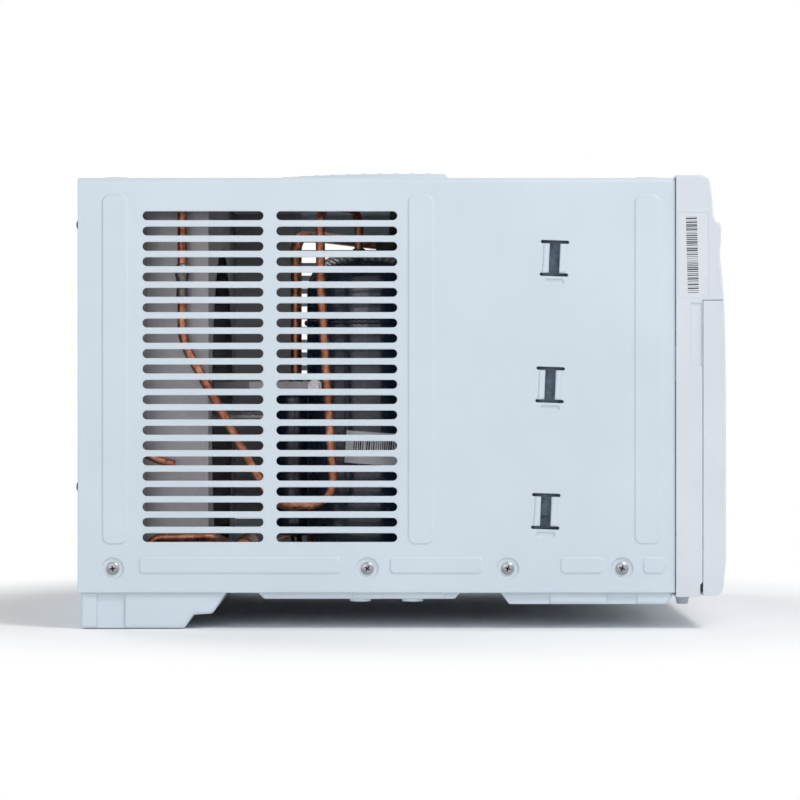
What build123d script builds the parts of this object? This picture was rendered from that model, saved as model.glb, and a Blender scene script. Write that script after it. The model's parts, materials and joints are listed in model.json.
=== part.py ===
from build123d import *
from math import cos, radians, sin, sqrt
import os

os.makedirs("parts", exist_ok=True)

# Window air conditioner. Millimetres, +Z up, the room side faces -Y, x = 0 is the middle of the cabinet,
# z = 0 is the underside of the rear sump and y = 0 is half way from the grille door to the rear screw heads.

# Overall sizes
width = 480.0  # across the cabinet's side walls
depth = 550.0  # grille door to the cabinet's rear edge
height = 382.8  # underside of the sump to the cabinet's flat top
frame_depth = 42.5  # front frame, front to back
frame_lip = 2.0  # how far the front frame stands proud of the cabinet all round
wrap_bottom = 30.5  # lower edge of the cabinet's sides
sheet = 1.0  # cabinet and pan steel
shell = 2.5  # moulded plastic walls
fit = 0.3  # clearance between neighbouring pieces
running = 0.05  # radial clearance of a shaft or pin in its hole
emboss = 0.9  # height of the cabinet's raised ribs and pads
dish_depth = 1.2  # depth of the cabinet's screw dishes and hook pockets

# Fasteners
screw_head_r = 5.4
screw_head_t = 2.2
screw_r = 2.0
rear_head_t = 1.6

# Side slots
slot_length = 102.5
slot_height = 7.5
slot_pitch = 13.0
slot_rows = 22
slots_from_rear = 55.0
slot_column_gap = 11.0
first_slot_down = 32.5  # cabinet top to the middle of the first row

# Moving air: one shaft turns the blower wheel in front and the condenser fan behind
shaft_r = 6.0
shaft_z = 178.0
wheel_r = 88.0
wheel_width = 88.0
wheel_blades = 36
fan_blades = 5
fan_blade_width = 22.0
orifice_r = 70.0

# Outlet and its blades
vane_count = 3
vane_pitch = 15.5
vane_chord = 13.0
vane_pin_r = 1.5
link_pin_r = 1.2
link_throw = 5.0
deflector_count = 4
deflector_chord = 24.0
deflector_throw = 9.0
blade_t = 1.6

# Controls
button_r = 4.8
button_travel = 1.2
button_names = ["power_button", "mode_button", "fan_button", "warmer_button", "cooler_button"]

# Refrigerant circuit
tube_r = 4.0
suction_r = 5.0
capillary_r = 1.25
compressor_r = 58.0
compressor_height = 286.0

# Places worked out from the sizes above
half = width / 2
cond_x = (-half + 44.0, half - 36.0)  # the condenser's fins, which the fan stands in front of
shaft_x = (cond_x[0] + cond_x[1]) / 2
y_front = -(depth + rear_head_t) / 2
y_rear = y_front + depth
seam = y_front + frame_depth
wrap_front = seam + 0.5
frame_half = half + frame_lip
frame_top = height + frame_lip
frame_bottom = wrap_bottom - 3.5
pan_half = half - sheet - dish_depth - 0.1
pan_rear = y_rear - 2.0
pan_flange_top = wrap_bottom + 34.5
door_top = frame_top - 106.4


def block(x, y, z, mode=Mode.ADD):
    # A box between two x values, two y values and two z values.
    with Locations(((x[0] + x[1]) / 2, (y[0] + y[1]) / 2, (z[0] + z[1]) / 2)):
        Box(x[1] - x[0], y[1] - y[0], z[1] - z[0], mode=mode)


def rod_x(x, y, z, radius, mode=Mode.ADD):
    with Locations(((x[0] + x[1]) / 2, y, z)):
        Cylinder(radius, x[1] - x[0], rotation=(0, 90, 0), mode=mode)


def rod_y(x, y, z, radius, mode=Mode.ADD):
    with Locations((x, (y[0] + y[1]) / 2, z)):
        Cylinder(radius, y[1] - y[0], rotation=(90, 0, 0), mode=mode)


def rod_z(x, y, z, radius, mode=Mode.ADD):
    with Locations((x, y, (z[0] + z[1]) / 2)):
        Cylinder(radius, z[1] - z[0], mode=mode)


def side_plane(x, facing):
    # A plane across x whose normal is +X or -X: its v is z, and its u is y times facing.
    return Plane(origin=(x, 0, 0), x_dir=(0, facing, 0), z_dir=(facing, 0, 0))


def pipe(points, bends, radius):
    # A round tube along straight runs joined by tangent arcs.
    with BuildPart() as run:
        with BuildLine() as route:
            FilletPolyline(*points, radius=bends)
        with BuildSketch(Plane(origin=route.line @ 0, z_dir=route.line % 0)):
            Circle(radius)
        sweep(path=route.line)
    return run.part


def save(piece, label):
    piece.label = label
    export_step(piece, f"parts/{label}.step")


# ---------- Cabinet wrap: one sheet folded over both sides and the top
top_corner = 5.0
rear_flange = 9.0
slot_middles = [
    y_rear - slots_from_rear - slot_length / 2,
    y_rear - slots_from_rear - slot_length * 1.5 - slot_column_gap,
]
slot_drop = height - first_slot_down - slot_pitch * (slot_rows - 1) / 2
rib_y = [y_rear - 31.5, y_rear - 291.0, wrap_front + 23.8]
rib_across = 22.0
rib_z = (wrap_bottom + 41.0, height - 14.5)
pad_z = wrap_bottom + 23.2
pad_tall = 14.4
pad_spans = [(52.0, 223.0), (264.6, 343.6), (409.3, 446.0), (479.3, 498.4)]  # from the rear edge
screw_z = wrap_bottom + 20.5
screw_y = [y_rear - d for d in (29.6, 245.7, 364.8, 461.8)]
dish_r = 10.5
hook_lean = 2.0
hook_y = [wrap_front + 110.0 - 3.7 * k for k in range(3)]
hook_z = [height - 283.3 + 107.35 * k for k in range(3)]
hook_tall = 30.5
hook_wide = 24.0
hook_bar = 2.8
hook_web = 8.8
vent_r = 185.0
vent_y = y_rear - 282.0
vent_front = vent_y - 38.0
vent_rise = 8.0
vent_slope = 45.0

with BuildPart() as cabinet_wrap:
    for inset, mode in ((0.0, Mode.ADD), (sheet, Mode.SUBTRACT)):
        with BuildSketch(Plane.XZ.offset(-(y_rear - inset))) as section:
            with Locations((0, (wrap_bottom - inset * 2 + height - inset) / 2)):
                Rectangle(width - 2 * inset, height - wrap_bottom + inset)
            fillet(section.vertices().group_by(Axis.Y)[-1], top_corner - inset)
        extrude(amount=y_rear - wrap_front + inset, mode=mode)
    block(
        (-half + rear_flange, half - rear_flange),
        (y_rear - 3 * sheet, y_rear + sheet),
        (wrap_bottom - sheet, height - rear_flange),
        Mode.SUBTRACT,
    )
    for facing in (-1, 1):
        for inset, mode in ((0.0, Mode.ADD), (sheet, Mode.SUBTRACT)):
            with BuildSketch(side_plane(facing * (half - inset), facing)):
                for y in rib_y:
                    with Locations((facing * y, (rib_z[0] + rib_z[1]) / 2)):
                        RectangleRounded(rib_across - inset, rib_z[1] - rib_z[0] - inset, 7)
                for near, far in pad_spans:
                    with Locations((facing * (y_rear - (near + far) / 2), pad_z)):
                        RectangleRounded(far - near - inset, pad_tall - inset, 4)
            extrude(amount=emboss, taper=50, mode=mode)
        with BuildSketch(side_plane(facing * (half - sheet), -facing)):
            for y in screw_y:
                with Locations((-facing * y, screw_z)):
                    Circle(dish_r)
            for y, z in zip(hook_y, hook_z):
                with Locations((-facing * y, z - hook_tall / 2 - 4.5)):
                    RectangleRounded(18, 7, 3)
        extrude(amount=dish_depth)
        with BuildSketch(side_plane(facing * half, -facing)):
            for y in screw_y:
                with Locations((-facing * y, screw_z)):
                    Circle(dish_r - sheet)
            for y, z in zip(hook_y, hook_z):
                with Locations((-facing * y, z - hook_tall / 2 - 4.5)):
                    RectangleRounded(18 - 2 * sheet, 7 - 2 * sheet, 2)
        extrude(amount=dish_depth, taper=35, mode=Mode.SUBTRACT)
    for inset, mode in ((0.0, Mode.ADD), (sheet, Mode.SUBTRACT)):
        with BuildSketch(Plane.XY.offset(height - inset)):
            for y in (rib_y[0], rib_y[2]):
                with Locations((0, y)):
                    RectangleRounded(width - 2 * top_corner - 4 - inset, rib_across - inset, 7)
        extrude(amount=emboss, taper=50, mode=mode)
        with BuildSketch(Plane.XY.offset(height - inset)) as dome:
            with Locations((0, vent_y)):
                Circle(vent_r - inset)
            with Locations((0, vent_front + vent_r + inset)):
                Rectangle(2 * vent_r, 2 * vent_r, mode=Mode.INTERSECT)
        extrude(amount=vent_rise, taper=vent_slope, mode=mode)
    louvre_pitch = 14.0
    louvre_count = int((vent_y + vent_r - vent_front - 40) / louvre_pitch)
    with BuildSketch(Plane.XY.offset(height + vent_rise)):
        for k in range(louvre_count):
            y = vent_front + 22 + k * louvre_pitch
            reach = sqrt((vent_r - 16) ** 2 - (y - vent_y) ** 2) - 4
            if reach > 30:
                for side in (-1, 1):
                    with Locations((side * (reach + 6) / 2, y)):
                        RectangleRounded(reach - 6, 5.5, 2.5)
    extrude(amount=1.6, taper=30)
    with BuildSketch(Plane.XY.offset(height + vent_rise + 3)):
        for k in range(louvre_count):
            y = vent_front + 22 + k * louvre_pitch + louvre_pitch / 2
            reach = sqrt((vent_r - 16) ** 2 - (y - vent_y) ** 2) - 6
            if reach > 30:
                for side in (-1, 1):
                    with Locations((side * (reach + 6) / 2, y)):
                        SlotOverall(reach - 6, 4.5)
    extrude(amount=-6, mode=Mode.SUBTRACT)
    with BuildSketch(Plane.YZ):
        for y in slot_middles:
            with Locations((y, slot_drop)):
                with GridLocations(1, slot_pitch, 1, slot_rows):
                    SlotOverall(slot_length, slot_height)
        for y in screw_y:
            with Locations((y, screw_z)):
                Circle(screw_r + 0.2)
    extrude(amount=half + 5, both=True, mode=Mode.SUBTRACT)
    with BuildSketch(Plane.YZ):
        for y, z in zip(hook_y, hook_z):
            with Locations(Location((y, z), hook_lean)):
                with Locations((0, (hook_tall - hook_bar) / 2), (0, -(hook_tall - hook_bar) / 2)):
                    SlotOverall(hook_wide, hook_bar)
                Rectangle(hook_web, hook_tall - hook_bar)
    extrude(amount=half + 5, both=True, mode=Mode.SUBTRACT)
    for side in (-1, 1):
        for z in (wrap_bottom + 90, height - 40):
            rod_y(side * (half - rear_flange / 2 - 0.5), (y_rear - 2 * sheet, y_rear + 1), z, screw_r + 0.2,
                  Mode.SUBTRACT)
    for x in (-half + 30, 0, half - 30):
        rod_y(x, (y_rear - 2 * sheet, y_rear + 1), height - rear_flange / 2 - 0.5, screw_r + 0.2, Mode.SUBTRACT)
save(cabinet_wrap.part, "cabinet_wrap")

# ---------- Base pan: stepped tray with a deep rear sump
sump_length = 88.0
middle_bottom = wrap_bottom - 5.5
front_bottom = wrap_bottom - 10.0
pan_front = wrap_front + 2.0
hump_z = wrap_bottom + 2.5
pan_outline = [
    (pan_rear, pan_flange_top),
    (pan_rear, 0),
    (pan_rear - sump_length, 0),
    (pan_rear - sump_length - 8, 11.5),
    (pan_rear - sump_length - 24, 12.5),
    (pan_rear - sump_length - 38, hump_z),
    (pan_rear - sump_length - 60, hump_z),
    (pan_rear - sump_length - 68, middle_bottom),
    (wrap_front + 187.0, middle_bottom),
    (wrap_front + 180.0, hump_z),
    (wrap_front + 150.0, hump_z),
    (wrap_front + 141.0, front_bottom),
    (pan_front + 6, front_bottom),
    (pan_front, front_bottom + 6.5),
    (pan_front, pan_flange_top),
]
joggles = [
    (pan_rear - 38.0, pan_rear - 14.0),
    (wrap_front + 248.0, wrap_front + 274.0),
    (wrap_front + 182.0, wrap_front + 196.0),
    (wrap_front + 106.0, wrap_front + 148.0),
    (wrap_front + 32.0, wrap_front + 58.0),
]
joggle = 1.4
foot_spots = [(side * (pan_half - 13), wrap_front + d) for side in (-1, 1) for d in (223.0, 267.5)]
plug_x = -150.0
plug_z = 19.5
plug_neck_r = 7.0
compressor_x = -half + 110.0
compressor_y = wrap_front + 258.0
foot_r = 78.0
stud_angles = (90, 210, 330)
studs = [(compressor_x + foot_r * cos(radians(a)), compressor_y + foot_r * sin(radians(a))) for a in stud_angles]
stud_r = 3.0
pan_floor = middle_bottom + sheet


def pan_block(inset):
    # The pan's outside, or with an inset its inside, as a solid block.
    with BuildPart() as filled:
        with BuildSketch(Plane.YZ) as outline:
            with BuildLine():
                Polyline(*pan_outline, close=True)
            make_face()
            corners = [v for v in outline.vertices() if v.Y < pan_flange_top - 1]
            fillet(corners, 3.0)
            if inset:
                offset(amount=-inset)
        extrude(amount=pan_half - inset, both=True)
        low = filled.edges().filter_by(GeomType.LINE).filter_by(Axis.Y)
        long_bottoms = [e for e in low if e.center().Z < hump_z - 2]
        fillet(long_bottoms, 3.0 - inset)
        for near, far in joggles:
            for side in (-1, 1):
                block(
                    (side * pan_half - joggle - inset, side * pan_half + joggle + inset),
                    (near - inset, far + inset),
                    (-1, wrap_bottom - 1.5 + inset),
                    Mode.SUBTRACT,
                )
        if inset:
            block(
                (-pan_half + inset, pan_half - inset),
                (pan_front + inset, pan_rear - inset),
                (pan_flange_top - 3, pan_flange_top + 1),
            )
    return filled.part


with BuildPart() as base_pan:
    add(pan_block(0.0))
    for x, y in foot_spots:
        rod_z(x, y, (middle_bottom - 2.4, middle_bottom + 1), 9.0)
    add(pan_block(sheet), mode=Mode.SUBTRACT)
    for x, y in foot_spots:
        rod_z(x, y, (middle_bottom - 1.4, middle_bottom + 1), 8.0, Mode.SUBTRACT)
    for x, y in studs:
        rod_z(x, y, (pan_floor - 0.5, pan_floor + 3), 12.0)
        rod_z(x, y, (pan_floor, pan_floor + 28), stud_r)
    for side in (-1, 1):
        for y in screw_y:
            rod_x((side * pan_half - 3, side * pan_half + 3), y, screw_z, screw_r + 0.1, Mode.SUBTRACT)
    rod_y(plug_x, (pan_rear - 3, pan_rear + 3), plug_z, plug_neck_r, Mode.SUBTRACT)
save(base_pan.part, "base_pan")

with BuildPart() as drain_plug:
    rod_y(plug_x, (pan_rear - sheet - 3, pan_rear + 1.4), plug_z, plug_neck_r - running)
    rod_y(plug_x, (pan_rear, pan_rear + 1.6), plug_z, 11.5)
    rod_y(plug_x, (pan_rear - sheet - 3, pan_rear - sheet), plug_z, 8.5)
    with Locations((plug_x, pan_rear + 1.6, plug_z)):
        Cone(11.5, 8.0, 1.2, rotation=(-90, 0, 0), align=(Align.CENTER, Align.CENTER, Align.MIN))
save(drain_plug.part, "drain_plug")

with BuildPart() as cabinet_screws:
    for side in (-1, 1):
        floor = half - dish_depth
        for y in screw_y:
            rod_x(sorted((side * floor, side * (floor + screw_head_t - 0.6))), y, screw_z, screw_head_r)
            rod_x(sorted((side * floor, side * (floor + screw_head_t))), y, screw_z, screw_head_r - 1.6)
            rod_x(sorted((side * floor, side * (pan_half - sheet - 1))), y, screw_z, screw_r)
            for turn in (0, 90):
                with Locations((side * (floor + screw_head_t), y, screw_z)):
                    Box(2.4, 4.6, 0.9, rotation=(turn, 0, 0), mode=Mode.SUBTRACT)
save(cabinet_screws.part, "cabinet_screws")

# ---------- Front frame: moulded surround with the outlet above and the intake below
wall_y = y_front + 20.1
face_y = y_front + 4.2
frame_outline = [
    (y_front + frame_depth, frame_bottom),
    (y_front + frame_depth, frame_top),
    (y_front + 20.2, frame_top),
    (y_front + 14.6, frame_top - 3.0),
    (y_front + 13.2, frame_top - 7.2),
    (y_front + 11.6, frame_top - 22.5),
    (y_front + 10.8, frame_top - 34.9),
    (y_front + 8.4, frame_top - 39.2),
    (y_front + 5.3, frame_top - 40.8),
    (face_y, frame_top - 43.5),
    (face_y, frame_top - 52.9),
    (y_front + 5.3, frame_top - 68.4),
    (y_front + 3.7, frame_top - 81.9),
    (y_front + 1.6, door_top + 0.5),
    (wall_y, door_top + 0.5),
    (wall_y, frame_bottom + 13.0),
    (y_front + 22.2, frame_bottom + 10.0),
    (y_front + 22.2, frame_bottom),
]
cavity_outline = [
    (y_front + frame_depth + 1, frame_bottom + shell),
    (y_front + frame_depth + 1, frame_top - shell),
    (y_front + 18.5, frame_top - shell),
    (y_front + 15.2, frame_top - 34.9),
    (y_front + 8.4, frame_top - 44.5),
    (y_front + 8.4, door_top + 0.5 + shell),
    (wall_y + 2.6, door_top + 0.5 + shell),
    (wall_y + 2.6, frame_bottom + 14.0),
    (y_front + 24.8, frame_bottom + 12.0),
    (y_front + 24.8, frame_bottom + shell),
]
outlet_x = (-frame_half + 28.0, frame_half - 146.0)
outlet_z = (door_top + 11.5, door_top + 59.5)
fascia_x = (outlet_x[1] + 16.0, frame_half - 16.0)
fascia_z = (outlet_z[0] - 4.0, outlet_z[1] + 0.5)
intake_x = half - 25.0
intake_z = (frame_bottom + 36.0, door_top - 16.0)
pivot = (y_front + 17.0, frame_bottom + 5.2)
ear_x = half - 20.0
ear_t = 4.0
pin_r = 2.0
rod_x_place = fascia_x[0] + 38.0
knob_z = frame_top - 22.0
label_t = 0.2
label_y = seam - 14.5
label_z = frame_top - 67.9
gland_x = -half + 26.0
gland_y = seam - 7.8
cord_r = 3.6
vent_rod_r = 2.5

with BuildPart() as front_frame:
    with BuildSketch(Plane.YZ):
        with BuildLine():
            Polyline(*frame_outline, close=True)
        make_face()
    extrude(amount=frame_half, both=True)
    side_edges = front_frame.edges().filter_by(lambda e: abs(abs(e.center().X) - frame_half) < 0.01)
    fillet([e for e in side_edges if e.center().Y < seam - 1 and e.center().Z > door_top + 1], 1.5)
    with BuildSketch(Plane.YZ):
        with BuildLine():
            Polyline(*cavity_outline, close=True)
        make_face()
    extrude(amount=frame_half - shell, both=True, mode=Mode.SUBTRACT)
    block(outlet_x, (y_front - 1, y_front + 10), outlet_z, Mode.SUBTRACT)
    block(fascia_x, (y_front - 1, y_front + 10), fascia_z, Mode.SUBTRACT)
    block((-intake_x, intake_x), (wall_y - 1, wall_y + 4), intake_z, Mode.SUBTRACT)
    rod_y(rod_x_place, (y_front, y_front + 20), knob_z, vent_rod_r + running, Mode.SUBTRACT)
    rod_y(rod_x_place, (y_front, y_front + 14), knob_z, 9.5, Mode.SUBTRACT)
    rod_y(rod_x_place, (y_front + 14, y_front + 19), knob_z, 11.5)
    rod_y(rod_x_place, (y_front, y_front + 20), knob_z, vent_rod_r + running, Mode.SUBTRACT)
    for side in (-1, 1):
        ear = sorted((side * ear_x, side * (ear_x - ear_t)))
        rod_x(ear, pivot[0], pivot[1], 4.2)
        block(ear, (pivot[0], y_front + 23), (frame_bottom + 1, frame_bottom + 9.4))
        rod_x(ear, pivot[0], pivot[1], pin_r + running, Mode.SUBTRACT)
        x = side * (frame_half - 0.9)
        block(sorted((x, side * (frame_half + 1))), (seam - 21.5, seam - 12.6), (door_top - 56, door_top - 2),
              Mode.SUBTRACT)
        block(sorted((side * (half - sheet - 0.4), side * (half - 4))), (seam - 8, seam + 7),
              (height * 0.55, height * 0.55 + 30))
        block(sorted((side * (half - sheet - 0.4), side * (frame_half - shell + 0.5))), (seam - 8, seam - 4),
              (height * 0.55, height * 0.55 + 30))
    block((-frame_half - 1, -frame_half + label_t), (label_y - 12.6, label_y + 12.6), (label_z - 36.1, label_z + 36.1),
          Mode.SUBTRACT)
    rod_z(gland_x, gland_y, (frame_bottom - 1, frame_bottom + shell + 1), 5.0 + running, Mode.SUBTRACT)
save(front_frame.part, "front_frame")

with BuildPart() as side_label:
    block((-frame_half, -frame_half + label_t), (label_y - 12.5, label_y + 12.5), (label_z - 36, label_z + 36))
save(side_label.part, "side_label")

with BuildPart() as cord_gland:
    with Locations((gland_x, gland_y, frame_bottom)):
        Cone(6.2, 4.6, 7.4, rotation=(180, 0, 0), align=(Align.CENTER, Align.CENTER, Align.MIN))
    rod_z(gland_x, gland_y, (frame_bottom, frame_bottom + shell), 5.0)
    rod_z(gland_x, gland_y, (frame_bottom + shell, frame_bottom + shell + 2), 6.2)
    rod_z(gland_x, gland_y, (frame_bottom - 8, frame_bottom + shell + 3), cord_r, Mode.SUBTRACT)
save(cord_gland.part, "cord_gland")

# ---------- Intake door: hinged on the frame's ears along its lower edge
door_rear = y_front + 19.6
door_outline = [
    (door_rear, door_top),
    (y_front + 1.6, door_top),
    (y_front + 0.6, door_top - 35),
    (y_front, door_top - 84),
    (y_front, frame_bottom + 31),
    (y_front + 0.9, frame_bottom + 25.6),
    (y_front + 2.6, frame_bottom + 9.3),
    (y_front + 3.6, frame_bottom + 4.2),
    (y_front + 7.0, frame_bottom + 1.7),
    (y_front + 10.7, frame_bottom + 1.0),
    (door_rear, frame_bottom + 1.0),
]
door_hollow = [
    (door_rear + 1, door_top - shell),
    (y_front + 1.6 + shell, door_top - shell),
    (y_front + shell, door_top - 84),
    (y_front + shell, frame_bottom + 31),
    (y_front + 3.4 + shell, frame_bottom + 10),
    (y_front + 8.0, frame_bottom + 1.0 + shell),
    (door_rear + 1, frame_bottom + 1.0 + shell),
]
lug_t = 5.0
louvre_z = (intake_z[0] + 4, intake_z[1] - 4)
door_slot_pitch = 9.0
door_slots = int((louvre_z[1] - louvre_z[0]) / door_slot_pitch)
filter_y = (y_front + shell + 1.6 + fit, y_front + shell + 1.6 + fit + 3.0)
filter_half = half - 32.0
filter_z = (louvre_z[0] - 6, louvre_z[1] + 4)

with BuildPart() as intake_door:
    with BuildSketch(Plane.YZ):
        with BuildLine():
            Polyline(*door_outline, close=True)
        make_face()
    extrude(amount=frame_half, both=True)
    rims = intake_door.edges().filter_by(lambda e: abs(abs(e.center().X) - frame_half) < 0.01)
    fillet([e for e in rims if e.center().Y < door_rear - 10 and e.length > 20], 1.5)
    with BuildSketch(Plane.YZ):
        with BuildLine():
            Polyline(*door_hollow, close=True)
        make_face()
    extrude(amount=frame_half - shell, both=True, mode=Mode.SUBTRACT)
    column = (2 * filter_half - 24) / 4
    with BuildSketch(Plane.XZ.offset(-(y_front + 6))):
        with Locations((0, (louvre_z[0] + louvre_z[1]) / 2)):
            with GridLocations(column + 2, door_slot_pitch, 4, door_slots):
                SlotOverall(column - 4, 5.0)
    extrude(amount=8, mode=Mode.SUBTRACT)
    for side in (-1, 1):
        notch = sorted((side * (ear_x + fit), side * (ear_x - ear_t - fit)))
        block(notch, (pivot[0] - 5.5, door_rear + 1), (frame_bottom, frame_bottom + 12), Mode.SUBTRACT)
        lug = sorted((side * (ear_x - ear_t - fit), side * (ear_x - ear_t - fit - lug_t)))
        rod_x(lug, pivot[0], pivot[1], 3.4)
        block(lug, (y_front + 5, pivot[0]), (pivot[1] - 3.4, pivot[1] + 3.4))
        rod_x(sorted((side * (ear_x - ear_t - fit - 1), side * (ear_x - 0.5))), pivot[0], pivot[1], pin_r)
        rail = sorted((side * (filter_half + fit), side * (filter_half + fit + 2.5)))
        block(rail, (y_front + 1.5, filter_y[1] + fit + 1.5), (filter_z[0] - 3, filter_z[1] - 12))
        block(sorted((rail[0] if side > 0 else rail[1], side * (filter_half - 3))),
              (filter_y[1] + fit, filter_y[1] + fit + 1.5), (filter_z[0] - 3, filter_z[1] - 12))
        block(sorted((side * filter_half, side * (filter_half - 30))), (y_front + 1.5, filter_y[1] + fit + 1.5),
              (filter_z[0] - 3, filter_z[0] - fit))
save(intake_door.part, "intake_door")

with BuildPart() as air_filter:
    block((-filter_half, filter_half), filter_y, filter_z)
    pane = (2 * filter_half - 8 * 5) / 4
    tall = (filter_z[1] - filter_z[0] - 8 * 3) / 2
    for y0, y1 in ((filter_y[0] - 1, filter_y[0] + 1.2), (filter_y[0] + 1.8, filter_y[1] + 1)):
        with BuildSketch(Plane.XZ.offset(-y1)):
            with Locations((0, (filter_z[0] + filter_z[1]) / 2)):
                with GridLocations(pane + 8, tall + 8, 4, 2):
                    Rectangle(pane, tall)
        extrude(amount=y1 - y0, mode=Mode.SUBTRACT)
save(air_filter.part, "air_filter")

# ---------- Outlet duct with its blades
duct_wall = 2.0
duct_x = (outlet_x[0] - duct_wall, outlet_x[1] + duct_wall)
duct_z = (outlet_z[0] - duct_wall, outlet_z[1] + duct_wall)
duct_y = (y_front + 8.4 + fit, seam + 37.7)
vane_y = y_front + 16.8
vane_zs = [(outlet_z[0] + outlet_z[1]) / 2 + (k - (vane_count - 1) / 2) * vane_pitch for k in range(vane_count)]
vane_x = (outlet_x[0] + 4.5, outlet_x[1] - 0.8)
deflector_y = y_front + 39.0
deflector_xs = [
    (outlet_x[0] + outlet_x[1]) / 2 + (k - (deflector_count - 1) / 2) * (outlet_x[1] - outlet_x[0]) / deflector_count
    for k in range(deflector_count)
]
deflector_z = (outlet_z[0] + 1.0, outlet_z[1] - 1.0)
link_z = (outlet_z[0] + 4.5, outlet_z[0] + 7.0)

with BuildPart() as outlet_duct:
    block(duct_x, duct_y, duct_z)
    block(outlet_x, (duct_y[0] - 1, duct_y[1] + 1), outlet_z, Mode.SUBTRACT)
    for z in vane_zs:
        for x in (duct_x[0], outlet_x[1]):
            rod_x((x - 1, x + duct_wall + 1), vane_y, z, vane_pin_r + running, Mode.SUBTRACT)
    for x in deflector_xs:
        for z in (duct_z[0], outlet_z[1]):
            rod_z(x, deflector_y, (z - 1, z + duct_wall + 1), vane_pin_r + running, Mode.SUBTRACT)
save(outlet_duct.part, "outlet_duct")

for number, z in enumerate(vane_zs, 1):
    with BuildPart() as vane:
        with BuildSketch(Plane.YZ.offset(vane_x[0])):
            with Locations((vane_y, z)):
                SlotOverall(vane_chord, blade_t)
                Circle(vane_pin_r + 0.7)
        extrude(amount=vane_x[1] - vane_x[0])
        rod_x((duct_x[0] + 0.3, vane_x[0]), vane_y, z, vane_pin_r)
        rod_x((vane_x[1], duct_x[1] - 0.3), vane_y, z, vane_pin_r)
        rod_x((outlet_x[0] + 0.8, vane_x[0]), vane_y + link_throw, z, link_pin_r)
    save(vane.part, f"vane_{number}")

with BuildPart() as vane_link:
    reach = (vane_zs[0] - 3.0, vane_zs[-1] + 3.0)
    block((outlet_x[0] + 1.2, vane_x[0] - 0.4), (vane_y + link_throw - 2.0, vane_y + link_throw + 2.0), reach)
    for z in vane_zs:
        rod_x((outlet_x[0], vane_x[0]), vane_y + link_throw, z, link_pin_r + running, Mode.SUBTRACT)
save(vane_link.part, "vane_link")

for number, x in enumerate(deflector_xs, 1):
    with BuildPart() as deflector:
        block((x - blade_t / 2, x + blade_t / 2), (deflector_y - deflector_chord / 2, deflector_y + deflector_chord / 2),
              deflector_z)
        fillet(deflector.edges().filter_by(Axis.X), 3)
        rod_z(x, deflector_y, (duct_z[0] + 0.3, duct_z[1] - 0.3), vane_pin_r)
        block((x - 3, x + 3), (deflector_y + deflector_throw - 4, deflector_y + deflector_chord / 2 + 1),
              (link_z[0] - 0.6, link_z[1] + 0.6), Mode.SUBTRACT)
        rod_z(x, deflector_y + deflector_throw, (link_z[0] - 2, link_z[1] + 2), link_pin_r)
    save(deflector.part, f"deflector_{number}")

with BuildPart() as deflector_link:
    y = deflector_y + deflector_throw
    block((deflector_xs[0] - 4, deflector_xs[-1] + 4), (y - 2.4, y + 2.4), link_z)
    for x in deflector_xs:
        rod_z(x, y, (link_z[0] - 1, link_z[1] + 1), link_pin_r + running, Mode.SUBTRACT)
save(deflector_link.part, "deflector_link")

# ---------- Controls
fascia_y = (y_front + 5.0, y_front + 8.0)
board_y = y_front + 16.0
display_x = (fascia_x[0] + 12.0, fascia_x[1] - 12.0)
display_z = (fascia_z[1] - 24.0, fascia_z[1] - 7.0)
button_z = fascia_z[0] + 14.0
button_xs = [fascia_x[0] + (fascia_x[1] - fascia_x[0]) * (k + 0.5) / len(button_names) for k in range(len(button_names))]

with BuildPart() as control_fascia:
    block((fascia_x[0] + fit, fascia_x[1] - fit), fascia_y, (fascia_z[0] + fit, fascia_z[1] - fit))
    block((fascia_x[0] - 3, fascia_x[1] + 3), (y_front + 8.4, y_front + 10.0), (fascia_z[0] - 3, fascia_z[1] + 1.6))
    block((fascia_x[0] + 2, fascia_x[1] - 2), (fascia_y[1] - 0.5, y_front + 10), (fascia_z[0] + 2, fascia_z[1] - 2))
    block(display_x, (y_front + 4, y_front + 7), display_z, Mode.SUBTRACT)
    block((display_x[0] + 2, display_x[1] - 2), (y_front + 6, y_front + 11), (display_z[0] + 2, display_z[1] - 2),
          Mode.SUBTRACT)
    for x in button_xs:
        rod_y(x, (y_front + 4, y_front + 11), button_z, button_r + fit, Mode.SUBTRACT)
    for x in (fascia_x[0] + 5, fascia_x[1] - 5):
        for z in (fascia_z[0] + 3, fascia_z[1] - 3):
            rod_y(x, (y_front + 9.5, board_y), z, 1.6)
save(control_fascia.part, "control_fascia")

with BuildPart() as display_window:
    block((display_x[0] + 0.1, display_x[1] - 0.1), (y_front + 5.0, y_front + 7.0),
          (display_z[0] + 0.1, display_z[1] - 0.1))
save(display_window.part, "display_window")

with BuildPart() as display_board:
    block((fascia_x[0] + 3, fascia_x[1] - 3), (board_y, board_y + 1.6), (fascia_z[0] + 1, fascia_z[1] - 1))
    block((display_x[0] + 3, display_x[1] - 3), (y_front + 9.5, board_y), (display_z[0] + 3, display_z[1] - 3))
    for x in button_xs:
        block((x - 2, x + 2), (board_y - 2.0, board_y), (button_z - 2, button_z + 2))
save(display_board.part, "display_board")

for name, x in zip(button_names, button_xs):
    with BuildPart() as button:
        rod_y(x, (y_front + 3.4, y_front + 10.0), button_z, button_r)
        fillet(button.edges().group_by(Axis.Y)[0], 0.8)
        rod_y(x, (y_front + 10.0, y_front + 11.2), button_z, button_r + 1.4)
        rod_y(x, (y_front + 11.2, board_y - 2.0 - button_travel - 0.2), button_z, 1.5)
    save(button.part, name)

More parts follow.
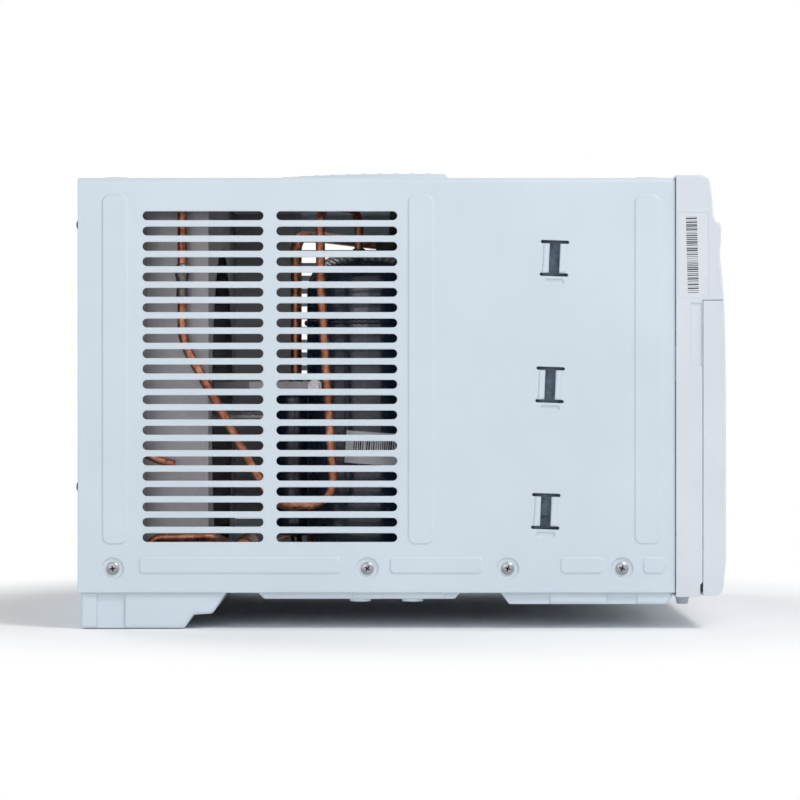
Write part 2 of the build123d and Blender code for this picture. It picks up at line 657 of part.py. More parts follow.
# ---------- Fresh-air vent: pull rod and flap
bulkhead_y = (wrap_front + 160.0, wrap_front + 161.2)
bulkhead_t = bulkhead_y[1] - bulkhead_y[0]
flap_half = 28.0
flap_hinge_z = height - 9.0
flap_z = (knob_z - 14.0, flap_hinge_z + 0.75)
flap_y = (bulkhead_y[0] - 2.1, bulkhead_y[0] - 0.6)

with BuildPart() as vent_knob:
    rod_y(rod_x_place, (y_front + 3.0, y_front + 12.0), knob_z, 8.0)
    fillet(vent_knob.edges().group_by(Axis.Y)[0], 1.5)
    rod_y(rod_x_place, (y_front + 11.0, flap_y[0] - 1.0), knob_z, vent_rod_r)
save(vent_knob.part, "vent_knob")

with BuildPart() as vent_flap:
    block((rod_x_place - flap_half, rod_x_place + flap_half), flap_y, flap_z)
    for side in (-1, 1):
        pin = sorted((rod_x_place + side * flap_half, rod_x_place + side * (flap_half + 4)))
        rod_x(pin, (flap_y[0] + flap_y[1]) / 2, flap_hinge_z, 0.7)
save(vent_flap.part, "vent_flap")

# ---------- Bulkhead between the room side and the outdoor side
bulkhead_z = (hump_z + sheet + 0.1, height - sheet - 0.5)
bulkhead_half = pan_half - sheet - 0.8
line_x = half - 23.0
lead_x = half - 42.0
suction_z = door_top - 17.0
capillary_z = wrap_bottom + 60.0
lead_z = height - 64.0
bulkhead_holes = [(line_x, suction_z, suction_r + 3), (line_x, capillary_z, 6.0), (lead_x, lead_z, 7.0)]

with BuildPart() as bulkhead:
    block((-bulkhead_half, bulkhead_half), bulkhead_y, bulkhead_z)
    block((-bulkhead_half, bulkhead_half), (bulkhead_y[0], bulkhead_y[0] + 14), (bulkhead_z[0], bulkhead_z[0] + sheet))
    block((-bulkhead_half, bulkhead_half), (bulkhead_y[0], bulkhead_y[0] + 14), (bulkhead_z[1] - sheet, bulkhead_z[1]))
    rod_y(shaft_x, (bulkhead_y[0] - 1, bulkhead_y[1] + 1), shaft_z, shaft_r + 9, Mode.SUBTRACT)
    block((rod_x_place - flap_half + 5, rod_x_place + flap_half - 5), (bulkhead_y[0] - 1, bulkhead_y[1] + 1),
          (flap_z[0] + 5, flap_hinge_z - 4), Mode.SUBTRACT)
    for side in (-1, 1):
        ear = sorted((rod_x_place + side * (flap_half + 1.5), rod_x_place + side * (flap_half + 4.5)))
        block(ear, (flap_y[0] - 1.2, bulkhead_y[0]), (flap_hinge_z - 3, flap_hinge_z + 3))
        rod_x((ear[0] - 1, ear[1] + 1), (flap_y[0] + flap_y[1]) / 2, flap_hinge_z, 0.7 + running, Mode.SUBTRACT)
    for x, z, radius in bulkhead_holes:
        rod_y(x, (bulkhead_y[0] - 1, bulkhead_y[1] + 1), z, radius, Mode.SUBTRACT)
save(bulkhead.part, "bulkhead")

# ---------- Blower housing: moulded foam scroll behind the evaporator
tray_y = (pan_front + sheet + 1.0, bulkhead_y[0] - 0.5)
tray_half = pan_half - sheet - joggle - fit
tray_top = front_bottom + sheet + 34.0
evaporator_y = (seam + 9.0, seam + 34.0)
coil_x = (-half + 34.0, half - 50.0)
evaporator_z = (tray_top - 18.0, door_top - 6.0)
scroll_x = (-pan_half + sheet + 2.0, half - 52.0)
scroll_y = (evaporator_y[1] + 4.0, bulkhead_y[0] - 0.5)
scroll_z = (tray_top + 1.0, duct_z[1] + 4.0)
wheel_y = (scroll_y[0] + 12.0, scroll_y[0] + 12.0 + wheel_width)

with BuildPart() as blower_housing:
    block(scroll_x, scroll_y, scroll_z)
    rod_y(shaft_x, (scroll_y[0] + 8, scroll_y[1] - 8), shaft_z, wheel_r + 14, Mode.SUBTRACT)
    rod_y(shaft_x, (scroll_y[0] - 1, scroll_y[0] + 9), shaft_z, orifice_r, Mode.SUBTRACT)
    rod_y(shaft_x, (scroll_y[1] - 9, scroll_y[1] + 1), shaft_z, shaft_r + 4, Mode.SUBTRACT)
    block((shaft_x - wheel_r - 14, shaft_x + wheel_r - 40), (scroll_y[0] + 8, scroll_y[1] - 8),
          (shaft_z, outlet_z[1]), Mode.SUBTRACT)
    block(outlet_x, (scroll_y[0] + 8, scroll_y[1] - 8), (outlet_z[0], outlet_z[1]), Mode.SUBTRACT)
    block(outlet_x, (scroll_y[0] - 1, scroll_y[0] + 9), outlet_z, Mode.SUBTRACT)
    block((scroll_x[0] - 1, scroll_x[0] + 2), (scroll_y[0] - 1, scroll_y[1] + 1), (scroll_z[0] - 1, height - 287),
          Mode.SUBTRACT)
save(blower_housing.part, "blower_housing")

with BuildPart() as drain_tray:
    block((-tray_half, tray_half), (tray_y[0], wrap_front + 137), (front_bottom + sheet + 0.2, tray_top))
    chamfer(drain_tray.edges().group_by(Axis.Z)[0], 6)
    block((-tray_half, tray_half), (wrap_front + 130, tray_y[1]), (hump_z + sheet + 0.5, tray_top))
    block((coil_x[0] - 18, line_x + 8), (tray_y[0] + 3, scroll_y[0] + 10), (evaporator_z[0], tray_top + 1),
          Mode.SUBTRACT)
save(drain_tray.part, "drain_tray")

# ---------- Fan shaft, blower wheel and condenser fan
shroud_y = (pan_rear - sump_length - 18.0, pan_rear - sump_length - 16.8)
shroud_guard = 66.0  # the shroud's right wall reaches this far ahead of it
condenser_y = (y_rear - 52.0, y_rear - 12.0)
condenser_z = (14.0, height - 16.0)
fan_y = (condenser_y[0] - 8.0 - fan_blade_width, condenser_y[0] - 8.0)
ring_r = min(shaft_z - sheet - 10.0, height - sheet - 10.0 - shaft_z, (coil_x[1] - coil_x[0]) / 2 - 22.0)
blade_tip_r = ring_r - 3.0
hub_r = 26.0
shaft_y = (wheel_y[0] + 10.0, fan_y[1] + 4.0)

with BuildPart() as fan_shaft:
    rod_y(shaft_x, shaft_y, shaft_z, shaft_r)
save(fan_shaft.part, "fan_shaft")

with BuildPart() as blower_wheel:
    rod_y(shaft_x, (wheel_y[1] - 3, wheel_y[1]), shaft_z, wheel_r)
    rod_y(shaft_x, (wheel_y[1] - 30, wheel_y[1]), shaft_z, 14)
    rod_y(shaft_x, (wheel_y[0], wheel_y[0] + 4), shaft_z, wheel_r)
    rod_y(shaft_x, (wheel_y[0] - 1, wheel_y[0] + 5), shaft_z, wheel_r - 12, Mode.SUBTRACT)
    with BuildSketch(Plane.XZ.offset(-wheel_y[1])):
        with Locations((shaft_x, shaft_z)):
            with PolarLocations(wheel_r - 6.0, wheel_blades):
                with Locations(Location((0, 0), 55)):
                    Rectangle(12.5, 1.2)
    extrude(amount=wheel_width)
    rod_y(shaft_x, (wheel_y[1] - 31, wheel_y[1] + 1), shaft_z, shaft_r + 0.02, Mode.SUBTRACT)
save(blower_wheel.part, "blower_wheel")

with BuildPart() as condenser_fan:
    rod_y(shaft_x, (fan_y[0] + 2, fan_y[1]), shaft_z, hub_r)
    blade_lean = 32.0
    for k in range(fan_blades):
        turn = 360 / fan_blades * k
        ray = Vector(cos(radians(turn)), 0, sin(radians(turn)))
        across = Vector(-sin(radians(turn)), 0, cos(radians(turn)))
        flat = across * cos(radians(blade_lean)) + Vector(0, sin(radians(blade_lean)), 0)
        middle = Vector(shaft_x, (fan_y[0] + fan_y[1]) / 2, shaft_z) + ray * (hub_r - 3)
        with BuildSketch(Plane(origin=middle, x_dir=flat, z_dir=ray)):
            Rectangle(34, 2.4)
        with BuildSketch(Plane(origin=middle + ray * (blade_tip_r - hub_r + 3), x_dir=flat, z_dir=ray)):
            Rectangle(41, 2.0)
        loft()
    with BuildSketch(Plane.XZ.offset(-(fan_y[1] - 1))):
        with Locations((shaft_x, shaft_z)):
            Circle(ring_r)
            Circle(ring_r - 3, mode=Mode.SUBTRACT)
    extrude(amount=fan_blade_width - 6)
    rod_y(shaft_x, (fan_y[0], fan_y[1] + 2), shaft_z, shaft_r + 0.02, Mode.SUBTRACT)
save(condenser_fan.part, "condenser_fan")

# ---------- Fan motor on its cradle
motor_r = 56.0
motor_y = (bulkhead_y[1] + 46.0, bulkhead_y[1] + 134.0)
motor_mid = (motor_y[0] + motor_y[1]) / 2

with BuildPart() as fan_motor:
    rod_y(shaft_x, motor_y, shaft_z, motor_r)
    fillet(fan_motor.edges().filter_by(GeomType.CIRCLE), 8)
    rod_y(shaft_x, (motor_y[0] - 7, motor_y[1] + 7), shaft_z, 20)
    rod_y(shaft_x, (motor_y[0] - 8, motor_y[1] + 8), shaft_z, shaft_r + running, Mode.SUBTRACT)
    for k in range(8):
        spot = (shaft_x + 38 * cos(radians(45 * k + 22.5)), shaft_z + 38 * sin(radians(45 * k + 22.5)))
        rod_y(spot[0], (motor_y[0] - 1, motor_y[0] + 6), spot[1], 6, Mode.SUBTRACT)
        rod_y(spot[0], (motor_y[1] - 6, motor_y[1] + 1), spot[1], 6, Mode.SUBTRACT)
save(fan_motor.part, "fan_motor")

with BuildPart() as motor_bracket:
    block((shaft_x - 52, shaft_x + 52), (motor_mid - 26, motor_mid + 26), (pan_floor, pan_floor + 2))
    block((shaft_x - 46, shaft_x + 46), (motor_mid - 16, motor_mid + 16), (pan_floor, shaft_z - 24))
    block((shaft_x - 44, shaft_x + 44), (motor_mid - 14, motor_mid + 14), (pan_floor + 2, shaft_z - motor_r - 12),
          Mode.SUBTRACT)
    rod_y(shaft_x, (motor_mid - 20, motor_mid + 20), shaft_z, motor_r + fit, Mode.SUBTRACT)
    for x in (shaft_x - 45.9, shaft_x + 45.9):
        for y in (motor_mid - 20, motor_mid + 20):
            rod_z(x, y, (pan_floor + 2, pan_floor + 5), 5)
    with BuildSketch(Plane.XZ.offset(-(motor_mid + 12))):
        with Locations((shaft_x, shaft_z)):
            Circle(motor_r + fit + 1.2)
            Circle(motor_r + fit, mode=Mode.SUBTRACT)
    extrude(amount=24)
save(motor_bracket.part, "motor_bracket")

# ---------- Condenser at the rear, behind the fan and its shroud
plate = 1.2
tube_pitch = 25.0
row_gap = 20.0
coil_tube_r = 3.5
cond_rows = int((condenser_z[1] - condenser_z[0] - 16) / tube_pitch / 2) * 2
cond_zs = [condenser_z[0] + 14 + tube_pitch * k for k in range(cond_rows)]
cond_ys = [(condenser_y[0] + condenser_y[1]) / 2 - row_gap / 2, (condenser_y[0] + condenser_y[1]) / 2 + row_gap / 2]


def coil_tubes(x, ys, zs, radius, free_side):
    # Straight tubes with return bends; each row's two free ends are on the side of free_side.
    gap = zs[1] - zs[0]
    with BuildPart() as tubes:
        for y in ys:
            for z in zs:
                rod_x(x, y, z, radius)
            for k in range(len(zs) - 1):
                side = -free_side if k % 2 == 0 else free_side
                end = x[1] if side > 0 else x[0]
                with BuildSketch(Plane(origin=(end, y, zs[k]), z_dir=(1, 0, 0))):
                    Circle(radius)
                revolve(axis=Axis((end, y, zs[k] + gap / 2), (0, -side, 0)), revolution_arc=180)
    return tubes.part


def coil_fins(x, y, z, ys, zs, radius):
    with BuildPart() as fins:
        block(x, y, z)
        with BuildSketch(Plane.YZ.offset(x[0] - 1)):
            with Locations(*[(a, b) for a in ys for b in zs]):
                Circle(radius + running)
        extrude(amount=x[1] - x[0] + 2, mode=Mode.SUBTRACT)
    return fins.part


def coil_plates(x, y, z, ys, zs, radius):
    with BuildPart() as plates:
        for start in (x[0] - plate, x[1]):
            block((start, start + plate), y, z)
        with BuildSketch(Plane.YZ.offset(x[0] - 5)):
            with Locations(*[(a, b) for a in ys for b in zs]):
                Circle(radius + running)
        extrude(amount=x[1] - x[0] + 10, mode=Mode.SUBTRACT)
    return plates.part


fin_inset = 0.2
condenser_fins = coil_fins((cond_x[0] + fin_inset, cond_x[1] - fin_inset), condenser_y, condenser_z, cond_ys, cond_zs,
                           coil_tube_r)
save(condenser_fins, "condenser_fins")
condenser_plates = coil_plates(cond_x, (condenser_y[0] - 2, condenser_y[1] + 2), (sheet + 0.2, condenser_z[1] + 2),
                               cond_ys, cond_zs, coil_tube_r)
save(condenser_plates, "condenser_plates")
with BuildPart() as condenser_tubes:
    ends = (cond_x[0] - plate - 1.0, cond_x[1] + plate + 1.0)
    add(coil_tubes(ends, cond_ys, cond_zs, coil_tube_r, -1))
    crossover = [
        (ends[0], cond_ys[1], cond_zs[0]),
        (ends[0] - 24, cond_ys[1], cond_zs[0]),
        (ends[0] - 24, cond_ys[0], cond_zs[-1]),
        (ends[0], cond_ys[0], cond_zs[-1]),
    ]
    add(pipe(crossover, [10, 10], coil_tube_r))
    charge_z = cond_zs[cond_rows * 5 // 12]
    charge_stub = [
        (ends[0] + 1, cond_ys[0], charge_z),
        (ends[0] - 12, cond_ys[0], charge_z),
        (ends[0] - 12, cond_ys[0] - 22, charge_z - 10),
        (ends[0] - 12, cond_ys[0] - 38, charge_z - 14),
    ]
    add(pipe(charge_stub, [8, 30], 3.2))
save(condenser_tubes.part, "condenser_tubes")

with BuildPart() as fan_shroud:
    block(cond_x, shroud_y, (14.0, height - sheet - 0.5))
    rod_y(shaft_x, (shroud_y[0] - 1, shroud_y[1] + 1), shaft_z, ring_r - 10, Mode.SUBTRACT)
    for x in ((cond_x[0], cond_x[0] + plate), (cond_x[1] - plate, cond_x[1])):
        block(x, (shroud_y[0], condenser_y[0] - 2 - fit), (14.0, height - sheet - 0.5))
    block((cond_x[1] - plate, cond_x[1]), (shroud_y[0] - shroud_guard, shroud_y[1]),
          (wrap_bottom + 45.0, height - sheet - 0.5))
    block(cond_x, (shroud_y[0], condenser_y[0] - 2 - fit), (height - sheet - 0.5 - plate, height - sheet - 0.5))
save(fan_shroud.part, "fan_shroud")

with BuildPart() as rear_baffle:
    block((-half + sheet + fit, half - sheet - fit), (y_rear - sheet - 1.0, y_rear - sheet),
          (pan_flange_top + fit, height - sheet - fit))
    fillet(rear_baffle.edges().filter_by(Axis.Y).group_by(Axis.Z)[-1], top_corner)
    block((cond_x[0] - 1, cond_x[1] + 1), (y_rear - sheet - 2, y_rear), (0, condenser_z[1] + 1), Mode.SUBTRACT)
    for side in (-1, 1):
        for z in (wrap_bottom + 90, height - 40):
            rod_y(side * (half - rear_flange / 2 - 0.5), (y_rear - 4, y_rear), z, screw_r + 0.1, Mode.SUBTRACT)
    for x in (-half + 30, 0, half - 30):
        rod_y(x, (y_rear - 4, y_rear), height - rear_flange / 2 - 0.5, screw_r + 0.1, Mode.SUBTRACT)
save(rear_baffle.part, "rear_baffle")

with BuildPart() as rear_screws:
    spots = [(side * (half - rear_flange / 2 - 0.5), z) for side in (-1, 1) for z in (wrap_bottom + 90, height - 40)]
    spots += [(x, height - rear_flange / 2 - 0.5) for x in (-half + 30, 0, half - 30)]
    for x, z in spots:
        rod_y(x, (y_rear - 8, y_rear), z, screw_r)
        rod_y(x, (y_rear, y_rear + rear_head_t), z, 4.0)
        with Locations((x, y_rear + rear_head_t, z)):
            Box(4.4, 1.4, 1.0, mode=Mode.SUBTRACT)
            Box(1.0, 1.4, 4.4, mode=Mode.SUBTRACT)
save(rear_screws.part, "rear_screws")

# ---------- Evaporator behind the intake door
evap_rows = int((evaporator_z[1] - evaporator_z[0] - 12) / 22.0 / 2) * 2
evap_zs = [evaporator_z[0] + 12 + 22.0 * k for k in range(evap_rows)]
evap_ys = [(evaporator_y[0] + evaporator_y[1]) / 2 - 6.5, (evaporator_y[0] + evaporator_y[1]) / 2 + 6.5]
evap_ends = (coil_x[0] - plate - 1.0, coil_x[1] + plate + 1.0)
save(coil_fins((coil_x[0] + fin_inset, coil_x[1] - fin_inset), evaporator_y, (evaporator_z[0] + 2, evaporator_z[1]),
               evap_ys, evap_zs, coil_tube_r), "evaporator_fins")
save(coil_plates(coil_x, (evaporator_y[0] - 0.5, evaporator_y[1] + 0.5), (evaporator_z[0] + 0.2, evaporator_z[1] + 1),
                 evap_ys, evap_zs, coil_tube_r), "evaporator_plates")
with BuildPart() as evaporator_tubes:
    add(coil_tubes(evap_ends, evap_ys, evap_zs, coil_tube_r, 1))
    with BuildSketch(Plane(origin=(evap_ends[1], evap_ys[0], evap_zs[0]), z_dir=(1, 0, 0))):
        Circle(coil_tube_r)
    revolve(axis=Axis((evap_ends[1], (evap_ys[0] + evap_ys[1]) / 2, evap_zs[0]), (0, 0, 1)), revolution_arc=180)
save(evaporator_tubes.part, "evaporator_tubes")

# ---------- Compressor on rubber grommets
can_z = (pan_floor + 10.0, pan_floor + 10.0 + compressor_height)
foot_z = (pan_floor + 15.0, pan_floor + 18.0)
cover_y = compressor_y - 18.0
cover_r = 15.0
cover_z = (can_z[1] + 0.1, can_z[1] + 18.0)
stub_y = compressor_y + 12.0
stay_z = 205.9
stay_y = compressor_y + 51.0
stay_x = compressor_x - 40.0
accumulator_x = compressor_x + 64.0
accumulator_y = compressor_y + 70.0
accumulator_r = 23.0
accumulator_z = (pan_floor + 45.0, pan_floor + 178.0)

with BuildPart() as compressor:
    with BuildSketch(Plane.XZ.offset(-compressor_y)):
        with BuildLine():
            Polyline((compressor_x, can_z[0]), (compressor_x + compressor_r - 24, can_z[0]))
            Line((compressor_x + compressor_r, can_z[0] + 18), (compressor_x + compressor_r, can_z[1] - 34))
            ThreePointArc(
                (compressor_x + compressor_r - 24, can_z[0]),
                (compressor_x + compressor_r - 5, can_z[0] + 6),
                (compressor_x + compressor_r, can_z[0] + 18),
            )
            ThreePointArc(
                (compressor_x + compressor_r, can_z[1] - 34),
                (compressor_x + compressor_r - 7, can_z[1] - 12),
                (compressor_x + compressor_r - 24, can_z[1]),
            )
            Polyline((compressor_x + compressor_r - 24, can_z[1]), (compressor_x, can_z[1]), (compressor_x, can_z[0]))
        make_face()
    revolve(axis=Axis((compressor_x, compressor_y, 0), (0, 0, 1)))
    with BuildSketch(Plane.XY.offset(foot_z[0])):
        for x, y in studs:
            with BuildLine():
                Line((compressor_x, compressor_y), (x, y))
            trace(line_width=26)
            with Locations((x, y)):
                Circle(13)
        with Locations(*studs):
            Circle(stud_r + 0.4, mode=Mode.SUBTRACT)
    extrude(amount=foot_z[1] - foot_z[0])
    block((stay_x + 0.1, compressor_x - 10), (stay_y - 6, stay_y + 3), (stay_z - 5, stay_z + 5))
    rod_z(compressor_x, stub_y, (can_z[1] - 2, can_z[1] + 6), tube_r + 1.5)
save(compressor.part, "compressor")

with BuildPart() as compressor_grommets:
    for x, y in studs:
        rod_z(x, y, (pan_floor + 3, foot_z[0]), 10)
        rod_z(x, y, (pan_floor + 7, pan_floor + 10), 12)
        rod_z(x, y, (pan_floor, foot_z[0] + 1), stud_r + 0.1, Mode.SUBTRACT)
save(compressor_grommets.part, "compressor_grommets")

with BuildPart() as compressor_nuts:
    for x, y in studs:
        rod_z(x, y, (foot_z[1], foot_z[1] + 1.2), 8)
        with BuildSketch(Plane.XY.offset(foot_z[1] + 1.2)):
            with Locations((x, y)):
                RegularPolygon(5.8, 6)
        extrude(amount=5)
        rod_z(x, y, (foot_z[1] - 1, foot_z[1] + 8), stud_r + 0.02, Mode.SUBTRACT)
save(compressor_nuts.part, "compressor_nuts")

with BuildPart() as terminal_cover:
    rod_z(compressor_x, cover_y, cover_z, cover_r)
    fillet(terminal_cover.edges().group_by(Axis.Z)[-1], 4)
save(terminal_cover.part, "terminal_cover")

with BuildPart() as accumulator:
    rod_z(accumulator_x, accumulator_y, accumulator_z, accumulator_r)
    fillet(accumulator.edges().filter_by(GeomType.CIRCLE), 12)
    rod_z(accumulator_x, accumulator_y, (accumulator_z[1] - 1, accumulator_z[1] + 9), suction_r + 1.2)
    gap = sqrt((accumulator_x - compressor_x) ** 2 + (accumulator_y - compressor_y) ** 2)
    toward = ((compressor_x - accumulator_x) / gap, (compressor_y - accumulator_y) / gap)
    reach = gap - compressor_r - 0.15
    elbow = [
        (accumulator_x, accumulator_y, accumulator_z[0] + 4),
        (accumulator_x, accumulator_y, accumulator_z[0] - 12),
        (accumulator_x + toward[0] * reach, accumulator_y + toward[1] * reach, accumulator_z[0] - 12),
    ]
    add(pipe(elbow, [11], suction_r))
save(accumulator.part, "accumulator")

with BuildPart() as compressor_stay:
    with BuildSketch(Plane.XY.offset(stay_z - 4.2)):
        with BuildLine():
            Polyline((stay_x - 0.6, stay_y - 7), (stay_x - 0.6, stay_y + 56), (stay_x + 20, shroud_y[0] - 2),
                     (stay_x + 44, shroud_y[0] - 0.8))
        trace(line_width=1.2)
    extrude(amount=8.4)
    rod_x((stay_x - 3, stay_x + 3), stay_y - 1, stay_z, screw_r + 0.1, Mode.SUBTRACT)
save(compressor_stay.part, "compressor_stay")

with BuildPart() as stay_bolt:
    rod_x((stay_x - 2.2, stay_x - 1.25), stay_y - 1, stay_z, 6.0)
    rod_x((stay_x - 5.2, stay_x - 2.2), stay_y - 1, stay_z, 4.0)
    rod_x((stay_x - 1.25, stay_x), stay_y - 1, stay_z, screw_r)
save(stay_bolt.part, "stay_bolt")

# ---------- Refrigerant lines
loop_x = -half + 32.0
top_z = height - 21.0
drier_y = shroud_y[0] - 26.0
drier_z = wrap_bottom + 32.0
drier_x = (compressor_x + 8.0, compressor_x + 98.0)
drier_r = 9.5

discharge_route = [
    (compressor_x, stub_y, can_z[1] + 6.1),
    (compressor_x, stub_y, top_z),
    (loop_x, compressor_y + 44.5, top_z),
    (loop_x, compressor_y + 43.5, height * 0.5 + 97.0),
    (loop_x, compressor_y + 31.6, wrap_bottom + 73.0),
    (loop_x, compressor_y + 84.0, wrap_bottom + 73.6),
    (loop_x + 0.5, y_rear - 86.0, wrap_bottom + 214.0),
    (loop_x, y_rear - 86.3, top_z + 6),
    (loop_x, cond_ys[1], top_z + 6),
    (loop_x, cond_ys[1] + 1, cond_zs[-1]),
    (ends[0] - 0.1, cond_ys[1], cond_zs[-1]),
]
save(pipe(discharge_route, [16, 18, 60, 21, 21, 60, 14, 16, 5], tube_r), "discharge_line")

suction_route = [
    (evap_ends[1] + 0.1, evap_ys[0], evap_zs[-1]),
    (line_x, evap_ys[0], evap_zs[-1]),
    (line_x, evap_ys[0] + 60, suction_z),
    (line_x, bulkhead_y[1] + 36, suction_z),
    (line_x - 1, bulkhead_y[1] + 36, top_z - 18),
    (accumulator_x + 40, accumulator_y - 24, top_z - 18),
    (accumulator_x, accumulator_y, top_z - 19),
    (accumulator_x, accumulator_y, accumulator_z[1] + 9.1),
]
save(pipe(suction_route, [8, 20, 20, 18, 30, 14], suction_r), "suction_line")

liquid_route = [
    (ends[0] - 0.1, cond_ys[0], cond_zs[0]),
    (loop_x - 2, cond_ys[0], cond_zs[0]),
    (loop_x - 2, cond_ys[0] - 14, cond_zs[0] + 2),
    (loop_x - 2, cond_ys[0] - 15, wrap_bottom + 45.0),
    (loop_x - 1, y_rear - 114.0, wrap_bottom + 46.0),
    (compressor_x - 30, drier_y, drier_z),
    (drier_x[0] - 1, drier_y, drier_z),
]
with BuildPart() as liquid_line:
    add(pipe(liquid_route, [5, 6, 12, 16, 16], coil_tube_r))
    rod_x(drier_x, drier_y, drier_z, drier_r)
    fillet(liquid_line.edges().filter_by(GeomType.CIRCLE).filter_by(lambda e: e.radius > drier_r - 0.1), 5)
save(liquid_line.part, "liquid_line")

capillary_route = [
    (drier_x[1] + 0.1, drier_y, drier_z),
    (drier_x[1] + 40, drier_y - 6, drier_z - 8),
    (line_x - 8, drier_y - 20, drier_z - 8),
    (line_x, bulkhead_y[1] + 40, capillary_z),
    (line_x, scroll_y[0] + 30, capillary_z),
    (evap_ends[1] + 16, evap_ys[1] + 1, capillary_z + 24),
    (evap_ends[1] + 16, evap_ys[1], evap_zs[-1]),
    (evap_ends[1] + 0.1, evap_ys[1], evap_zs[-1]),
]
save(pipe(capillary_route, [20, 20, 20, 14, 12, 8], capillary_r), "capillary_tube")

# ---------- Electrical pieces
box_x = (scroll_x[1] + fit, half - 6.0)
box_y = (seam + 10.0, bulkhead_y[0] - 12.0)
box_z = (suction_z + suction_r + 9.0, height - 33.0)
with BuildPart() as control_box:
    block(box_x, box_y, box_z)
    block((box_x[0] + plate, box_x[1] - plate), (box_y[0] + plate, box_y[1] - plate), (box_z[0] + plate, box_z[1] + 1),
          Mode.SUBTRACT)
    rod_y(lead_x, (box_y[1] - 3, box_y[1] + 1), lead_z, 6.0, Mode.SUBTRACT)
save(control_box.part, "control_box")

with BuildPart() as compressor_lead:
    lead_route = [
        (compressor_x, cover_y, cover_z[1] + 0.1),
        (compressor_x, cover_y - 1, top_z + 4),
        (compressor_x + 30, bulkhead_y[1] + 22, top_z + 4),
        (lead_x, bulkhead_y[1] + 18, top_z + 4),
        (lead_x, bulkhead_y[1] + 16, lead_z),
        (lead_x, box_y[1] - 8, lead_z),
    ]
    add(pipe(lead_route, [8, 20, 16, 12], 3.5))
save(compressor_lead.part, "compressor_lead")

with BuildPart() as compressor_label:
    with BuildSketch(Plane.XY.offset(can_z[0] + 90)):
        with Locations((compressor_x, compressor_y)):
            Circle(compressor_r + 0.3)
            Circle(compressor_r + 0.1, mode=Mode.SUBTRACT)
    extrude(amount=50)
    with Locations(Location((compressor_x - compressor_r, compressor_y - 2, can_z[0] + 116), (4, 0, 0))):
        Box(60, 50, 28, mode=Mode.INTERSECT)
save(compressor_label.part, "compressor_label")
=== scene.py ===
import json
import math

import bmesh
import bpy
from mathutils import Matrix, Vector


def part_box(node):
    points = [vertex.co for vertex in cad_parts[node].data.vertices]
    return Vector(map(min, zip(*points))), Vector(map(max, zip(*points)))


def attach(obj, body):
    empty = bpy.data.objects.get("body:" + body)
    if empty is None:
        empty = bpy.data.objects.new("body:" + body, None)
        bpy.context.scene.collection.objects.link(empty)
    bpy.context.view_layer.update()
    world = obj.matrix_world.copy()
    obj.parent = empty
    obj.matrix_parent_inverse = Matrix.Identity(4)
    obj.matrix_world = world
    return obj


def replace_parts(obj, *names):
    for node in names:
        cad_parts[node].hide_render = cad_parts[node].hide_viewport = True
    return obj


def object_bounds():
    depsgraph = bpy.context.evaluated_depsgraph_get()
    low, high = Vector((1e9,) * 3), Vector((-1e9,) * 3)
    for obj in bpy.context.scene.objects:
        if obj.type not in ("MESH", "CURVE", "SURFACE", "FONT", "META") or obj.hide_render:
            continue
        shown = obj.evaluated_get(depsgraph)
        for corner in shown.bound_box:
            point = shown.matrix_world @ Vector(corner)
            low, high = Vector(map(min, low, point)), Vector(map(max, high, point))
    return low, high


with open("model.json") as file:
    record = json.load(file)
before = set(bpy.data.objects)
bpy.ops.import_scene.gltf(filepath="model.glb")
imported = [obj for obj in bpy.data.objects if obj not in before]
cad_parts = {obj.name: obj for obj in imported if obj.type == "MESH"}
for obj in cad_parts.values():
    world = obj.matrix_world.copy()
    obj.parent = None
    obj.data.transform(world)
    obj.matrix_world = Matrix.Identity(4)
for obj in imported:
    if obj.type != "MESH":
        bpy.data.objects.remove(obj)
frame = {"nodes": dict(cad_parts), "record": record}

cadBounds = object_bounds()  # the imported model's box, before anything is added
scene = bpy.context.scene
nodes = frame["nodes"]
print("frame loaded:", len(nodes), "nodes")


def linear(hexColour):  # sRGB hex to the linear values that shaders use
    channels = [int(hexColour[i:i + 2], 16) / 255 for i in (1, 3, 5)]
    return tuple(c / 12.92 if c <= 0.04045 else ((c + 0.055) / 1.055) ** 2.4 for c in channels) + (1.0,)


def addNode(tree, kind, settings=None, inputs=None):  # a node with its settings, values and links
    node = tree.nodes.new(kind)
    for name, value in (settings or {}).items():
        setattr(node, name, value)
    for name, value in (inputs or {}).items():
        for one in value if isinstance(value, list) else [value]:
            if isinstance(one, bpy.types.NodeSocket):
                tree.links.new(one, node.inputs[name])
            else:
                node.inputs[name].default_value = one
    return node


def startMaterial(name, shaderValues):  # an empty material with one principled shader, read in object space
    material = bpy.data.materials.new(name)
    material.use_nodes = True
    tree = material.node_tree
    tree.nodes.clear()
    shader = addNode(tree, "ShaderNodeBsdfPrincipled", None, shaderValues)
    addNode(tree, "ShaderNodeOutputMaterial", None, {"Surface": shader.outputs[0]})
    place = addNode(tree, "ShaderNodeTexCoord").outputs["Object"]
    return material, tree, shader, place


def noise(tree, place, sizeMm, detail=2.0, rough=0.5):  # cloudy pattern whose blobs are about sizeMm across
    settings = {"Vector": place, "Scale": 1000 / sizeMm, "Detail": detail, "Roughness": rough}
    return addNode(tree, "ShaderNodeTexNoise", None, settings).outputs["Fac"]


def ramp(tree, factor, stops):  # stops are (position, hex colour)
    node = addNode(tree, "ShaderNodeValToRGB", None, {"Fac": factor})
    while len(node.color_ramp.elements) < len(stops):
        node.color_ramp.elements.new(0.5)
    for element, (position, colour) in zip(node.color_ramp.elements, stops):
        element.position = position
        element.color = linear(colour)
    return node.outputs["Color"]


def spread(tree, factor, low, high):  # a 0..1 pattern squeezed between two values
    limits = {"Value": factor, "From Min": 0.3, "From Max": 0.7, "To Min": low, "To Max": high}
    return addNode(tree, "ShaderNodeMapRange", None, limits).outputs[0]


